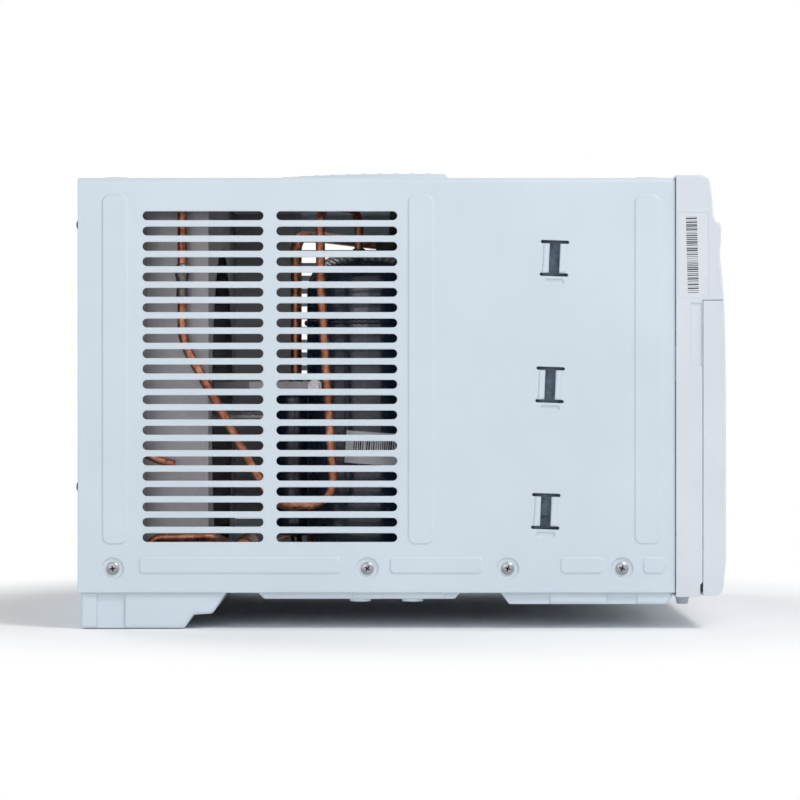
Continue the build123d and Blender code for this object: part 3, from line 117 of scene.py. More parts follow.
def sums(tree, operation, first, second=0.0):  # one step of arithmetic in a material or a geometry tree
    return addNode(tree, "ShaderNodeMath", {"operation": operation}, {0: first, 1: second}).outputs[0]


def separate(tree, vector):  # the three numbers of a vector
    return addNode(tree, "ShaderNodeSeparateXYZ", None, {"Vector": vector}).outputs


def combine(tree, parts):  # a vector from numbers; parts are keyed 0, 1, 2 and the rest stay zero
    return addNode(tree, "ShaderNodeCombineXYZ", None, parts).outputs[0]


def vectors(tree, operation, inputs):  # one step of vector arithmetic
    return addNode(tree, "ShaderNodeVectorMath", {"operation": operation}, inputs).outputs


def bump(tree, height, depthMm, under, strength):  # depth of the relief; under is the normal it is laid on
    inputs = {"Height": height, "Distance": depthMm / 1000, "Strength": strength}
    if under is not None:
        inputs["Normal"] = under
    return addNode(tree, "ShaderNodeBump", None, inputs).outputs["Normal"]


def roundedEdges(tree, radiusMm):  # pressed and moulded edges are never quite sharp
    return addNode(tree, "ShaderNodeBevel", {"samples": 6}, {"Radius": radiusMm / 1000}).outputs["Normal"]


def paintedSteel(name, colours, peelMm):  # powder coat baked on pressed sheet: satin, with a fine orange peel
    material, tree, shader, place = startMaterial(name, {"Roughness": 0.38, "IOR": 1.5, "Coat Weight": 0.12,
                                                         "Coat Roughness": 0.25})
    link = tree.links.new
    cloud = noise(tree, place, 90, 3)
    link(ramp(tree, cloud, [(0.35, colours[0]), (0.65, colours[1])]), shader.inputs["Base Color"])
    link(spread(tree, noise(tree, place, 25, 3), 0.36, 0.46), shader.inputs["Roughness"])
    peel = noise(tree, place, peelMm, 1)
    link(bump(tree, peel, 0.05, roundedEdges(tree, 1.3), 0.3), shader.inputs["Normal"])
    return material


def mouldedPlastic(name, colours, grainMm, roughness, edgeMm=0.6):  # injection moulded, spark-eroded grain
    material, tree, shader, place = startMaterial(name, {"Roughness": roughness, "IOR": 1.53})
    link = tree.links.new
    cloud = noise(tree, place, 70, 2)
    link(ramp(tree, cloud, [(0.35, colours[0]), (0.65, colours[1])]), shader.inputs["Base Color"])
    wear = noise(tree, place, 12, 3)
    link(spread(tree, wear, roughness - 0.05, roughness + 0.06), shader.inputs["Roughness"])
    grain = noise(tree, place, grainMm, 3, 0.6)
    link(bump(tree, grain, 0.06, roundedEdges(tree, edgeMm), 0.45), shader.inputs["Normal"])
    return material


def galvanisedSteel():  # hot-dip zinc, skin-passed: even grey with faint crystals about 5 mm across
    material, tree, shader, place = startMaterial("galvanisedSteel", {"Metallic": 0.55, "Roughness": 0.45})
    link = tree.links.new
    crystals = addNode(tree, "ShaderNodeTexVoronoi", None, {"Vector": place, "Scale": 1000 / 5})
    tone = addNode(tree, "ShaderNodeRGBToBW", None, {"Color": crystals.outputs["Color"]}).outputs[0]
    cloud = noise(tree, place, 60, 3)
    blend = addNode(tree, "ShaderNodeMix", None, {0: 0.25, "A": cloud, "B": tone}).outputs[0]
    link(ramp(tree, blend, [(0.3, "#9C9BA0"), (0.7, "#ADACB1")]), shader.inputs["Base Color"])
    link(spread(tree, tone, 0.4, 0.5), shader.inputs["Roughness"])
    link(bump(tree, noise(tree, place, 3, 2), 0.03, roundedEdges(tree, 0.4), 0.3), shader.inputs["Normal"])
    return material


def copperTube(name, stops):  # drawn copper, browned in patches by brazing heat and air
    material, tree, shader, place = startMaterial(name, {"Metallic": 0.85, "Roughness": 0.4})
    link = tree.links.new
    wide, fine = noise(tree, place, 30, 4, 0.6), noise(tree, place, 5, 4, 0.7)
    patches = addNode(tree, "ShaderNodeMix", None, {0: 0.5, "A": wide, "B": fine}).outputs[0]
    link(ramp(tree, patches, stops), shader.inputs["Base Color"])
    link(spread(tree, fine, 0.3, 0.56), shader.inputs["Roughness"])
    link(bump(tree, noise(tree, place, 2.4, 4, 0.6), 0.09, None, 0.45), shader.inputs["Normal"])
    return material


def blackEnamel():  # sprayed gloss enamel on the compressor shell
    material, tree, shader, place = startMaterial("blackEnamel", {"Roughness": 0.22, "IOR": 1.5,
                                                                  "Coat Weight": 0.4})
    link = tree.links.new
    cloud = noise(tree, place, 30, 3)
    link(ramp(tree, cloud, [(0.3, "#172436"), (0.7, "#203046")]), shader.inputs["Base Color"])
    link(spread(tree, noise(tree, place, 9, 3), 0.18, 0.34), shader.inputs["Roughness"])
    link(bump(tree, noise(tree, place, 2.2, 1), 0.06, roundedEdges(tree, 0.6), 0.35), shader.inputs["Normal"])
    return material


def plainMetal(name, colours, roughness, grainMm=0.8):  # turned, plated or ground metal with fine tool marks
    material, tree, shader, place = startMaterial(name, {"Metallic": 1.0, "Roughness": roughness})
    link = tree.links.new
    cloud, wear, grain = noise(tree, place, 6, 3), noise(tree, place, 3, 3), noise(tree, place, grainMm, 2)
    link(ramp(tree, cloud, [(0.3, colours[0]), (0.7, colours[1])]), shader.inputs["Base Color"])
    link(spread(tree, wear, roughness - 0.06, roughness + 0.1), shader.inputs["Roughness"])
    link(bump(tree, grain, 0.02, roundedEdges(tree, 0.3), 0.3), shader.inputs["Normal"])
    return material


def coilFins():  # thin rolled aluminium: pale, slightly oxidised
    material, tree, shader, place = startMaterial("rolledAluminium", {"Metallic": 0.7, "Roughness": 0.45})
    link = tree.links.new
    cloud = noise(tree, place, 60, 3)
    link(ramp(tree, cloud, [(0.3, "#C4C8CC"), (0.7, "#D2D5D8")]), shader.inputs["Base Color"])
    link(spread(tree, noise(tree, place, 14, 2), 0.42, 0.5), shader.inputs["Roughness"])
    link(bump(tree, noise(tree, place, 2.5, 2), 0.02, None, 0.25), shader.inputs["Normal"])
    return material


def beadFoam():  # steam-moulded foam: packed beads about 3.5 mm across
    material, tree, shader, place = startMaterial("beadFoam", {"Roughness": 0.75, "IOR": 1.45})
    link = tree.links.new
    beads = addNode(tree, "ShaderNodeTexVoronoi", {"feature": "SMOOTH_F1"},
                    {"Vector": place, "Scale": 1000 / 3.5})
    tone = beads.outputs["Distance"]
    link(ramp(tree, tone, [(0.1, "#6A7887"), (0.7, "#566373")]), shader.inputs["Base Color"])
    link(spread(tree, noise(tree, place, 10, 2), 0.62, 0.82), shader.inputs["Roughness"])
    link(bump(tree, tone, 0.12, roundedEdges(tree, 1.0), 0.35), shader.inputs["Normal"])
    return material


def softRubber():  # moulded black rubber, dull and slightly dusty
    material, tree, shader, place = startMaterial("softRubber", {"Roughness": 0.72, "IOR": 1.52})
    link = tree.links.new
    cloud = noise(tree, place, 8, 4)
    link(ramp(tree, cloud, [(0.3, "#141517"), (0.7, "#242528")]), shader.inputs["Base Color"])
    link(spread(tree, noise(tree, place, 5, 2), 0.62, 0.84), shader.inputs["Roughness"])
    link(bump(tree, noise(tree, place, 0.9, 3), 0.05, roundedEdges(tree, 0.5), 0.5), shader.inputs["Normal"])
    return material


def stripedLabel(name, look):  # printed film: stripes of uneven width and no digits
    material, tree, shader, place = startMaterial(name, {"Roughness": 0.3, "IOR": 1.5})
    link = tree.links.new
    turned = addNode(tree, "ShaderNodeMapping", {"vector_type": "TEXTURE"},
                     {"Vector": place, "Location": look["middle"],
                      "Rotation": (math.radians(look["tilt"]), 0, 0)}).outputs[0]
    axes = separate(tree, turned)
    along, side = axes[look["runs"]], axes["Y" if look["runs"] == "Z" else "Z"]
    steps = sums(tree, "MULTIPLY", along, 1000 / look["pitchMm"])
    whole = sums(tree, "FLOOR", steps)
    dice = addNode(tree, "ShaderNodeTexWhiteNoise", {"noise_dimensions": "1D"}, {"W": whole}).outputs["Value"]
    width = sums(tree, "ADD", sums(tree, "MULTIPLY", dice, 0.55), 0.2)  # each stripe's share of its step
    bar = sums(tree, "LESS_THAN", sums(tree, "SUBTRACT", steps, whole), width)
    offMiddle = sums(tree, "ABSOLUTE", sums(tree, "ADD", side, -look["shift"]))
    across = sums(tree, "LESS_THAN", offMiddle, look["half"])
    length = sums(tree, "LESS_THAN", sums(tree, "ABSOLUTE", along), look["reach"])
    ink = sums(tree, "MULTIPLY", bar, sums(tree, "MULTIPLY", across, length))
    colour = addNode(tree, "ShaderNodeMix", {"data_type": "RGBA"}, {0: ink})
    colour.inputs[6].default_value = linear(look["film"])
    colour.inputs[7].default_value = linear(look["ink"])
    link(colour.outputs[2], shader.inputs["Base Color"])
    link(spread(tree, noise(tree, place, 4, 2), 0.26, 0.38), shader.inputs["Roughness"])
    link(bump(tree, noise(tree, place, 5, 2), 0.03, None, 0.3), shader.inputs["Normal"])
    return material


def smokedWindow():  # clear acrylic tinted nearly black, over the display
    material, tree, shader, place = startMaterial("smokedAcrylic", {"Roughness": 0.05, "IOR": 1.49,
                                                                    "Alpha": 0.85})
    link = tree.links.new
    cloud = noise(tree, place, 20, 2)
    link(ramp(tree, cloud, [(0.3, "#0C0E11"), (0.7, "#14171B")]), shader.inputs["Base Color"])
    link(spread(tree, noise(tree, place, 6, 2), 0.04, 0.09), shader.inputs["Roughness"])
    return material


def circuitBoard():  # green solder mask with faint tracks about 1.5 mm apart
    material, tree, shader, place = startMaterial("circuitBoard", {"Roughness": 0.4, "IOR": 1.5})
    link = tree.links.new
    bands = addNode(tree, "ShaderNodeTexWave", {"wave_type": "BANDS"},
                    {"Vector": place, "Scale": 1000 / 1.5 / 20, "Distortion": 6.0, "Detail": 2.0})
    tracks = bands.outputs["Fac"]
    link(ramp(tree, tracks, [(0.45, "#17492C"), (0.6, "#2B6B41")]), shader.inputs["Base Color"])
    link(spread(tree, tracks, 0.32, 0.5), shader.inputs["Roughness"])
    link(bump(tree, tracks, 0.04, None, 0.4), shader.inputs["Normal"])
    return material


finishes = {
    "painted_steel": paintedSteel("powderCoatedSteel", ("#D0DBE4", "#D4DFE8"), 1.6),
    "front_plastic": mouldedPlastic("frontAbs", ("#D7DCE3", "#DBE0E6"), 0.9, 0.46),
    "vane_plastic": mouldedPlastic("vaneAbs", ("#DADDE2", "#DFE2E6"), 0.9, 0.42),
    "duct_plastic": mouldedPlastic("ductPolypropylene", ("#262C35", "#2F3640"), 0.8, 0.55),
    "fascia_plastic": mouldedPlastic("fasciaAbs", ("#C6CBD2", "#CCD1D7"), 1.2, 0.28),
    "button_plastic": mouldedPlastic("buttonAbs", ("#E2E4E8", "#E7E8EB"), 0.8, 0.4, 0.8),
    "window": smokedWindow(),
    "board": circuitBoard(),
    "filter": mouldedPlastic("filterPolypropylene", ("#4A5158", "#555C63"), 0.8, 0.6),
    "foam": beadFoam(),
    "wheel_plastic": mouldedPlastic("wheelPolypropylene", ("#1B222D", "#252D39"), 0.9, 0.5),
    "shaft_steel": plainMetal("groundSteel", ("#9B9C9F", "#B5B6B9"), 0.3),
    "screw_steel": plainMetal("zincPlate", ("#8E8F95", "#A6A7AD"), 0.36, 0.5),
    "black_screw": plainMetal("blackOxide", ("#101112", "#1C1D1F"), 0.45, 0.5),
    "galvanised": galvanisedSteel(),
    "fins": coilFins(),
    "copper": copperTube("drawnCopper", [(0.38, "#7E4433"), (0.5, "#BE7C62"), (0.62, "#E2A78B")]),
    "black_paint": blackEnamel(),
    "black_rubber": softRubber(),
    "gland_plastic": mouldedPlastic("glandNylon", ("#A3A9B5", "#AEB4BF"), 0.8, 0.5),
}
brazedCopper = copperTube("brazedCopper", [(0.38, "#5C5452"), (0.5, "#8D8580"), (0.62, "#BDB8B3")])
shadedRecessFinish = plainMetal("shadedRecess", ("#1D1E21", "#2C2D31"), 0.6, 0.5)  # painted shade: a dark colour laid in the screws' cross recesses
brightZinc = plainMetal("brightZinc", ("#C2C4C8", "#DADBDE"), 0.3, 0.5)  # bolts inside, out of the weather
slotOfNode = {s["node"]: s["material_slot"] for s in frame["record"]["subparts"]}


def middleOf(box):
    return (box[0] + box[1]) / 2


labelLooks = {  # stripes follow one another along an axis; tilt in degrees, sizes in metres from the middle
    "side_label": {"middle": middleOf(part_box("side_label")), "tilt": -1.5, "runs": "Z", "pitchMm": 1.6,
                   "shift": 0.0008, "half": 0.0047, "reach": 0.0325, "film": "#DCE0E6", "ink": "#1E1E22"},
    "compressor_label": {"middle": middleOf(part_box("compressor_label")), "tilt": 4.0, "runs": "Y",
                         "pitchMm": 1.9, "shift": 0.002, "half": 0.0062, "reach": 0.019, "film": "#E2E5EA",
                         "ink": "#101114"},
}
for name, thing in nodes.items():
    if name in ("stay_bolt", "compressor_nuts"):
        finish = brightZinc
    elif name in labelLooks:
        finish = stripedLabel(name.replace("_l", "L"), labelLooks[name])
    else:
        finish = finishes[slotOfNode[name]]
    thing.data.materials.clear()
    thing.data.materials.append(finish)
print("materials made and put on the nodes")


def boxesOf(starts, nextEdges):  # the low and high corner of each joined group of vertices
    boxes, seen = [], set()
    for start in starts:
        if start in seen:
            continue
        reached, waiting = [], [start]
        seen.add(start)
        while waiting:
            vert = waiting.pop()
            reached.append(vert.co)
            for edge in nextEdges(vert):
                other = edge.other_vert(vert)
                if other not in seen:
                    seen.add(other)
                    waiting.append(other)
        boxes.append([Vector(min(c[i] for c in reached) for i in range(3)),
                      Vector(max(c[i] for c in reached) for i in range(3))])
    return boxes


def mergedMesh(node):  # a copy of a CAD node's mesh with its seams joined
    mesh = bmesh.new()
    mesh.from_mesh(nodes[node].data)
    bmesh.ops.remove_doubles(mesh, verts=mesh.verts, dist=1e-6)
    return mesh


def islands(node):  # the box of each separate solid in a CAD node
    mesh = mergedMesh(node)
    boxes = boxesOf(mesh.verts, lambda vert: vert.link_edges)
    mesh.free()
    return boxes


def cutLoops(node, axis, place):  # the box of each loop where a plane cuts a CAD node
    mesh = mergedMesh(node)
    origin, normal = Vector((0, 0, 0)), Vector((0, 0, 0))
    origin[axis], normal[axis] = place, 1
    everything = mesh.verts[:] + mesh.edges[:] + mesh.faces[:]
    cut = bmesh.ops.bisect_plane(mesh, geom=everything, plane_co=origin, plane_no=normal)["geom_cut"]
    rings = {g for g in cut if isinstance(g, bmesh.types.BMEdge)}
    starts = [g for g in cut if isinstance(g, bmesh.types.BMVert)]
    boxes = boxesOf(starts, lambda vert: [e for e in vert.link_edges if e in rings])
    mesh.free()
    return sorted(boxes, key=lambda box: [round(c, 4) for c in box[0]])


def startTree(name, inputs):  # a geometry tree; inputs are (label, socket kind)
    tree = bpy.data.node_groups.new(name, "GeometryNodeTree")
    for label, kind in inputs:
        tree.interface.new_socket(label, in_out="INPUT", socket_type="NodeSocket" + kind)
    tree.interface.new_socket("Geometry", in_out="OUTPUT", socket_type="NodeSocketGeometry")
    return tree, addNode(tree, "NodeGroupInput").outputs


def endTree(tree, geometry, material, where=True):  # where says which faces take the material
    solid = addNode(tree, "GeometryNodeRealizeInstances", None, {"Geometry": geometry}).outputs[0]
    painted = addNode(tree, "GeometryNodeSetMaterial", None,
                      {"Geometry": solid, "Selection": where, "Material": material}).outputs[0]
    addNode(tree, "NodeGroupOutput", None, {"Geometry": painted})


def pointsMesh(name, places, outwards):  # bare points for a geometry tree, with the way each one faces
    mesh = bpy.data.meshes.new(name)
    mesh.from_pydata([tuple(p) for p in places], [], [])
    way = mesh.attributes.new("outward", "FLOAT_VECTOR", "POINT")
    for item, value in zip(way.data, outwards):
        item.vector = value
    return mesh


def facingOutwards(tree):  # turns each instance's Z to the way that its point faces
    way = addNode(tree, "GeometryNodeInputNamedAttribute", {"data_type": "FLOAT_VECTOR"},
                  {"Name": "outward"}).outputs[0]
    return addNode(tree, "FunctionNodeAlignRotationToVector", {"axis": "Z"}, {"Vector": way}).outputs[0]


def evenRow(tree, span, pitch, first, step):  # as many points as fit in the span, one pitch apart
    count = addNode(tree, "FunctionNodeFloatToInt", {"rounding_mode": "FLOOR"},
                    {0: sums(tree, "DIVIDE", span, pitch)}).outputs[0]
    return addNode(tree, "GeometryNodeMeshLine", {"mode": "OFFSET"},
                   {"Count": count, "Start Location": first, "Offset": step}).outputs[0]


def instances(tree, points, instance, inputs=None):
    return addNode(tree, "GeometryNodeInstanceOnPoints", None,
                   {"Points": points, "Instance": instance, **(inputs or {})}).outputs[0]


def shifted(tree, geometry, parts):  # moves points by a vector made of parts
    return addNode(tree, "GeometryNodeSetPosition", None,
                   {"Geometry": geometry, "Offset": combine(tree, parts)}).outputs[0]


def grow(name, tree, values, body, start=None):  # runs a tree and keeps its result as a plain mesh
    thing = bpy.data.objects.new(name, start or bpy.data.meshes.new(name + "Start"))
    scene.collection.objects.link(thing)
    modifier = thing.modifiers.new("shape", "NODES")
    modifier.node_group = tree
    for item in tree.interface.items_tree:
        if item.in_out == "INPUT" and item.name in values:
            modifier[item.identifier] = values[item.name]
    bpy.context.view_layer.update()
    result = bpy.data.meshes.new_from_object(thing.evaluated_get(bpy.context.evaluated_depsgraph_get()))
    thing.modifiers.clear()
    thing.data = result
    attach(thing, body)
    print("  ", name, len(result.polygons), "faces")
    return thing


# Coil fins: sheets threaded on the tubes, thicker and further apart than real foil so that each one shows
coilSettings = {
    "condenser": {"node": "condenser_fins", "Dent": 0.0005},
    "evaporator": {"node": "evaporator_fins", "Dent": 0.0004},
}
finSettings = {"Pitch": 0.0017, "Thickness": 0.0007, "Ripple": 0.0006, "Wave": 0.010, "Phase": 1.57,
               "Dents per metre": 45.0}


def finTree():
    tree, given = startTree("finPack", [("Low", "Vector"), ("High", "Vector"), ("Pitch", "Float"),
                                        ("Thickness", "Float"), ("Ripple", "Float"), ("Wave", "Float"),
                                        ("Phase", "Float"), ("Dents per metre", "Float"), ("Dent", "Float"),
                                        ("Finish", "Material")])
    low, high, pitch = given["Low"], given["High"], given["Pitch"]
    sizes = separate(tree, vectors(tree, "SUBTRACT", {0: high, 1: low})[0])
    total = vectors(tree, "ADD", {0: high, 1: low})[0]
    middles = separate(tree, vectors(tree, "SCALE", {0: total, "Scale": 0.5})[0])
    firstX = sums(tree, "ADD", separate(tree, low)[0], sums(tree, "MULTIPLY", pitch, 0.5))
    first = combine(tree, {0: firstX, 1: middles[1], 2: middles[2]})
    row = evenRow(tree, sizes[0], pitch, first, combine(tree, {0: pitch}))
    sheetSize = combine(tree, {0: given["Thickness"], 1: sizes[1], 2: sizes[2]})
    sheet = addNode(tree, "GeometryNodeMeshCube", None,
                    {"Size": sheetSize, "Vertices X": 2, "Vertices Y": 9, "Vertices Z": 3}).outputs[0]
    where = separate(tree, addNode(tree, "GeometryNodeInputPosition").outputs[0])
    turns = sums(tree, "MULTIPLY", where[1], sums(tree, "DIVIDE", 2 * math.pi, given["Wave"]))
    wave = sums(tree, "SINE", sums(tree, "ADD", turns, given["Phase"]))
    rippled = shifted(tree, sheet, {0: sums(tree, "MULTIPLY", wave, given["Ripple"])})
    solid = addNode(tree, "GeometryNodeRealizeInstances", None, {"Geometry": instances(tree, row, rippled)})
    cloud = addNode(tree, "ShaderNodeTexNoise", None, {"Scale": given["Dents per metre"], "Detail": 1.0})
    push = sums(tree, "MULTIPLY", sums(tree, "SUBTRACT", cloud.outputs["Fac"], 0.5), given["Dent"])
    endTree(tree, shifted(tree, solid.outputs[0], {0: push}), given["Finish"])
    return tree


packs = finTree()
for name, settings in coilSettings.items():
    low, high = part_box(settings["node"])
    values = {**finSettings, "Dent": settings["Dent"], "Low": low, "High": high, "Finish": finishes["fins"]}
    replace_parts(grow(name + "FinPack", packs, values, "cabinet"), settings["node"])
print("coil fins made")

# Screws: pan heads with a cross recess, each one stopped at its own angle
screwSettings = {
    "cabinet_screws": {"name": "cabinetPanScrews", "slot": "screw_steel", "axis": 0, "Height": 0.0026,
                       "Shank": 0.0019, "Cross Length": 0.0050, "Cross Width": 0.00115,
                       "Cross Depth": 0.0017},
    "rear_screws": {"name": "rearPanScrews", "slot": "black_screw", "axis": 1, "Height": 0.0024,
                    "Shank": 0.0019, "Cross Length": 0.0046, "Cross Width": 0.0011, "Cross Depth": 0.0016},
}
firstScrewSeed = 11


def screwHead(tree, given):  # a disc pulled down towards its rim, with a cross cut into it
    radius, height = given["Radius"], given["Height"]
    disc = addNode(tree, "GeometryNodeMeshCylinder", None,
                   {"Vertices": 32, "Side Segments": 2, "Fill Segments": 7, "Radius": radius,
                    "Depth": height}).outputs[0]
    axes = separate(tree, addNode(tree, "GeometryNodeInputPosition").outputs[0])
    flat = combine(tree, {0: axes[0], 1: axes[1]})
    reach = vectors(tree, "LENGTH", {0: flat})["Value"]
    share = sums(tree, "POWER", sums(tree, "DIVIDE", reach, radius), 3.0)
    onTop = sums(tree, "GREATER_THAN", axes[2], sums(tree, "MULTIPLY", height, 0.3))
    halfDown = sums(tree, "MULTIPLY", height, -0.5)
    drop = sums(tree, "MULTIPLY", sums(tree, "MULTIPLY", share, onTop), halfDown)
    dome = shifted(tree, disc, {2: sums(tree, "ADD", drop, halfDown)})
    deep = sums(tree, "MULTIPLY", given["Cross Depth"], 2.0)
    long, wide = given["Cross Length"], given["Cross Width"]
    # the cut cross takes the Recess finish, a dark colour that paints the shade inside the slots
    bars = []
    for along, across in ((long, wide), (wide, long)):
        barSize = combine(tree, {0: along, 1: across, 2: deep})
        bar = addNode(tree, "GeometryNodeMeshCube", None, {"Size": barSize}).outputs[0]
        bars.append(addNode(tree, "GeometryNodeSetMaterial", None,
                            {"Geometry": bar, "Material": given["Recess"]}).outputs[0])
    painted = addNode(tree, "GeometryNodeSetMaterial", None,
                      {"Geometry": dome, "Material": given["Finish"]}).outputs[0]
    return addNode(tree, "GeometryNodeMeshBoolean", {"operation": "DIFFERENCE", "solver": "EXACT"},
                   {"Mesh 1": painted, "Mesh 2": bars, "Self Intersection": True}).outputs[0]


def screwTree():
    tree, given = startTree("panScrew", [("Geometry", "Geometry"), ("Radius", "Float"), ("Height", "Float"),
                                         ("Shank", "Float"), ("Length", "Float"), ("Cross Length", "Float"),
                                         ("Cross Width", "Float"), ("Cross Depth", "Float"), ("Seed", "Int"),
                                         ("Finish", "Material"), ("Recess", "Material")])
    stem = addNode(tree, "GeometryNodeMeshCylinder", None,
                   {"Vertices": 16, "Radius": given["Shank"], "Depth": given["Length"]}).outputs[0]
    stemDown = sums(tree, "SUBTRACT", sums(tree, "MULTIPLY", given["Length"], -0.5),
                    sums(tree, "MULTIPLY", given["Height"], 0.8))
    stemSet = addNode(tree, "GeometryNodeTransform", None,
                      {"Geometry": stem, "Translation": combine(tree, {2: stemDown})}).outputs[0]
    screw = addNode(tree, "GeometryNodeJoinGeometry", None,
                    {"Geometry": [screwHead(tree, given), stemSet]}).outputs[0]
    spin = addNode(tree, "FunctionNodeRandomValue", {"data_type": "FLOAT"},
                   {2: 0.0, 3: 1.57, "Seed": given["Seed"]}).outputs[1]  # up to a quarter turn
    turn = addNode(tree, "FunctionNodeAxisAngleToRotation", None, {"Axis": (0, 0, 1), "Angle": spin})
    posed = addNode(tree, "FunctionNodeRotateRotation", {"rotation_space": "LOCAL"},
                    {"Rotation": facingOutwards(tree), "Rotate By": turn.outputs[0]}).outputs[0]
    placed = instances(tree, given["Geometry"], screw, {"Rotation": posed})
    inRecess = addNode(tree, "GeometryNodeMaterialSelection", None, {"Material": given["Recess"]}).outputs[0]
    endTree(tree, placed, given["Finish"],
            addNode(tree, "FunctionNodeBooleanMath", {"operation": "NOT"}, {0: inRecess}).outputs[0])
    return tree


screws = screwTree()
for seed, (node, settings) in enumerate(screwSettings.items(), firstScrewSeed):
    places, outwards = [], []
    axis = settings["axis"]
    heads = islands(node)
    for low, high in heads:
        middle = (low + high) / 2
        side = 1 if middle[axis] > 0 else -1
        middle[axis] = high[axis] if side > 0 else low[axis]
        way = Vector((0, 0, 0))
        way[axis] = side
        places.append(middle)
        outwards.append(way)
    low, high = heads[-1]  # the screws of one node are alike
    values = {k: v for k, v in settings.items() if k[0].isupper()}
    values.update({"Radius": (high.z - low.z) / 2, "Length": (high[axis] - low[axis]) - settings["Height"],
                   "Seed": seed, "Finish": finishes[settings["slot"]], "Recess": shadedRecessFinish})
    start = pointsMesh(settings["name"] + "Places", places, outwards)
    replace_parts(grow(settings["name"], screws, values, "cabinet", start), node)
print("screws made")

# Filter: a woven net held in the moulded frame
filterSettings = {"Pitch": 0.0026, "Strand": 0.00045, "Depth": 2.4, "inset": 0.004}  # depth in strand widths


def netTree():
    tree, given = startTree("filterNet", [("Low", "Vector"), ("High", "Vector"), ("Pitch", "Float"),
                                          ("Strand", "Float"), ("Depth", "Float"), ("Finish", "Material")])
    lows, highs = separate(tree, given["Low"]), separate(tree, given["High"])
    thick = sums(tree, "MULTIPLY", given["Strand"], given["Depth"])
    deep = sums(tree, "MULTIPLY", sums(tree, "ADD", highs[1], lows[1]), 0.5)
    both = []
    for run, cross in ((0, 2), (2, 0)):  # strands along x stacked up z, then strands along z set out along x
        length = sums(tree, "SUBTRACT", highs[run], lows[run])
        middle = sums(tree, "MULTIPLY", sums(tree, "ADD", highs[run], lows[run]), 0.5)
        span = sums(tree, "SUBTRACT", highs[cross], lows[cross])
        first = combine(tree, {run: middle, cross: lows[cross], 1: deep})
        line = evenRow(tree, span, given["Pitch"], first, combine(tree, {cross: given["Pitch"]}))
        strandSize = combine(tree, {run: length, cross: given["Strand"], 1: thick})
        strand = addNode(tree, "GeometryNodeMeshCube", None, {"Size": strandSize}).outputs[0]
        both.append(instances(tree, line, strand))
    net = addNode(tree, "GeometryNodeJoinGeometry", None, {"Geometry": both}).outputs[0]
    endTree(tree, net, given["Finish"])
    return tree


netInset = Vector((filterSettings["inset"], 0, filterSettings["inset"]))
netLow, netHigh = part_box("air_filter")
netValues = {"Low": netLow + netInset, "High": netHigh - netInset, "Pitch": filterSettings["Pitch"],
             "Strand": filterSettings["Strand"], "Depth": filterSettings["Depth"],
             "Finish": finishes["filter"]}
grow("filterNet", netTree(), netValues, "intake_door")
print("filter net made")

# Brazed joints: a short flared sleeve where each return bend enters its coil plate
jointSettings = {"Radius": 0.0047, "Flare": 0.0053, "Length": 0.007, "gap": 0.0015, "cut": 0.002}


def sleeveTree():
    tree, given = startTree("brazedSleeve", [("Geometry", "Geometry"), ("Radius", "Float"),
                                             ("Flare", "Float"), ("Length", "Float"),
                                             ("Finish", "Material")])
    sleeve = addNode(tree, "GeometryNodeMeshCone", {"fill_type": "TRIANGLE_FAN"},
                     {"Vertices": 20, "Side Segments": 4, "Radius Top": given["Flare"],
                      "Radius Bottom": given["Radius"], "Depth": given["Length"]}).outputs[0]
    placed = instances(tree, given["Geometry"], sleeve, {"Rotation": facingOutwards(tree)})
    endTree(tree, placed, given["Finish"])
    return tree


sleeves = sleeveTree()
sleeveValues = {k: v for k, v in jointSettings.items() if k[0].isupper()}
sleeveValues["Finish"] = brazedCopper
for coil in ("condenser", "evaporator"):
    low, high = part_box(coil + "_plates")
    places, outwards = [], []
    for side, plateX in ((-1, low.x), (1, high.x)):
        for ring in cutLoops(coil + "_tubes", 0, plateX + side * jointSettings["cut"]):
            tube = middleOf(ring)
            places.append((plateX + side * jointSettings["gap"], tube.y, tube.z))
            outwards.append((side, 0, 0))
    start = pointsMesh(coil + "SleevePlaces", places, outwards)
    grow(coil + "Sleeves", sleeves, sleeveValues, "cabinet", start)
print("brazed joints made")


def lathe(name, profile, centre, sides, finish, body):  # profile: closed run of (radius, height)
    mesh = bmesh.new()
    rings = []
    for radius, height in profile:
        rings.append([mesh.verts.new((centre[0] + radius * math.cos(2 * math.pi * k / sides),
                                      centre[1] + radius * math.sin(2 * math.pi * k / sides), height))
                      for k in range(sides)])
    for lower, upper in zip(rings, rings[1:] + rings[:1]):
        for k in range(sides):
            after = (k + 1) % sides
            mesh.faces.new((lower[k], lower[after], upper[after], upper[k])).smooth = True
    bmesh.ops.recalc_face_normals(mesh, faces=mesh.faces)
    data = bpy.data.meshes.new(name)
    mesh.to_mesh(data)
    mesh.free()
    data.materials.append(finish)
    thing = bpy.data.objects.new(name, data)
    scene.collection.objects.link(thing)
    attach(thing, body)


# Discharge pipe coupling: the riser is swaged and brazed where the thin pipe joins the thick one
coupling = {"low": 0.279, "high": 0.3115, "riserCut": 0.295, "tube": 0.0040, "bite": 0.0003, "body": 0.0049,
            "edge": 0.0004, "edgeRise": 0.001, "swageFrom": 0.014, "lipFrom": 0.010, "lip": 0.0062,
            "lipHeight": 0.005, "neck": 0.0003, "neckFrom": 0.002, "fillet": 0.0002}
riserRings = cutLoops("discharge_line", 2, coupling["riserCut"])
riser = middleOf(max(riserRings, key=lambda box: box[0].y))  # the rear one of the line's two legs
bottom, top, body, lip = (coupling[k] for k in ("low", "high", "body", "lip"))
inside = coupling["tube"] - coupling["bite"]
couplingProfile = [(inside, bottom), (body - coupling["edge"], bottom), (body, bottom + coupling["edgeRise"]),
                   (body, top - coupling["swageFrom"]), (lip, top - coupling["lipFrom"]),
                   (lip, top - coupling["lipFrom"] + coupling["lipHeight"]),
                   (body - coupling["neck"], top - coupling["neckFrom"]),
                   (coupling["tube"] + coupling["fillet"], top), (inside, top)]
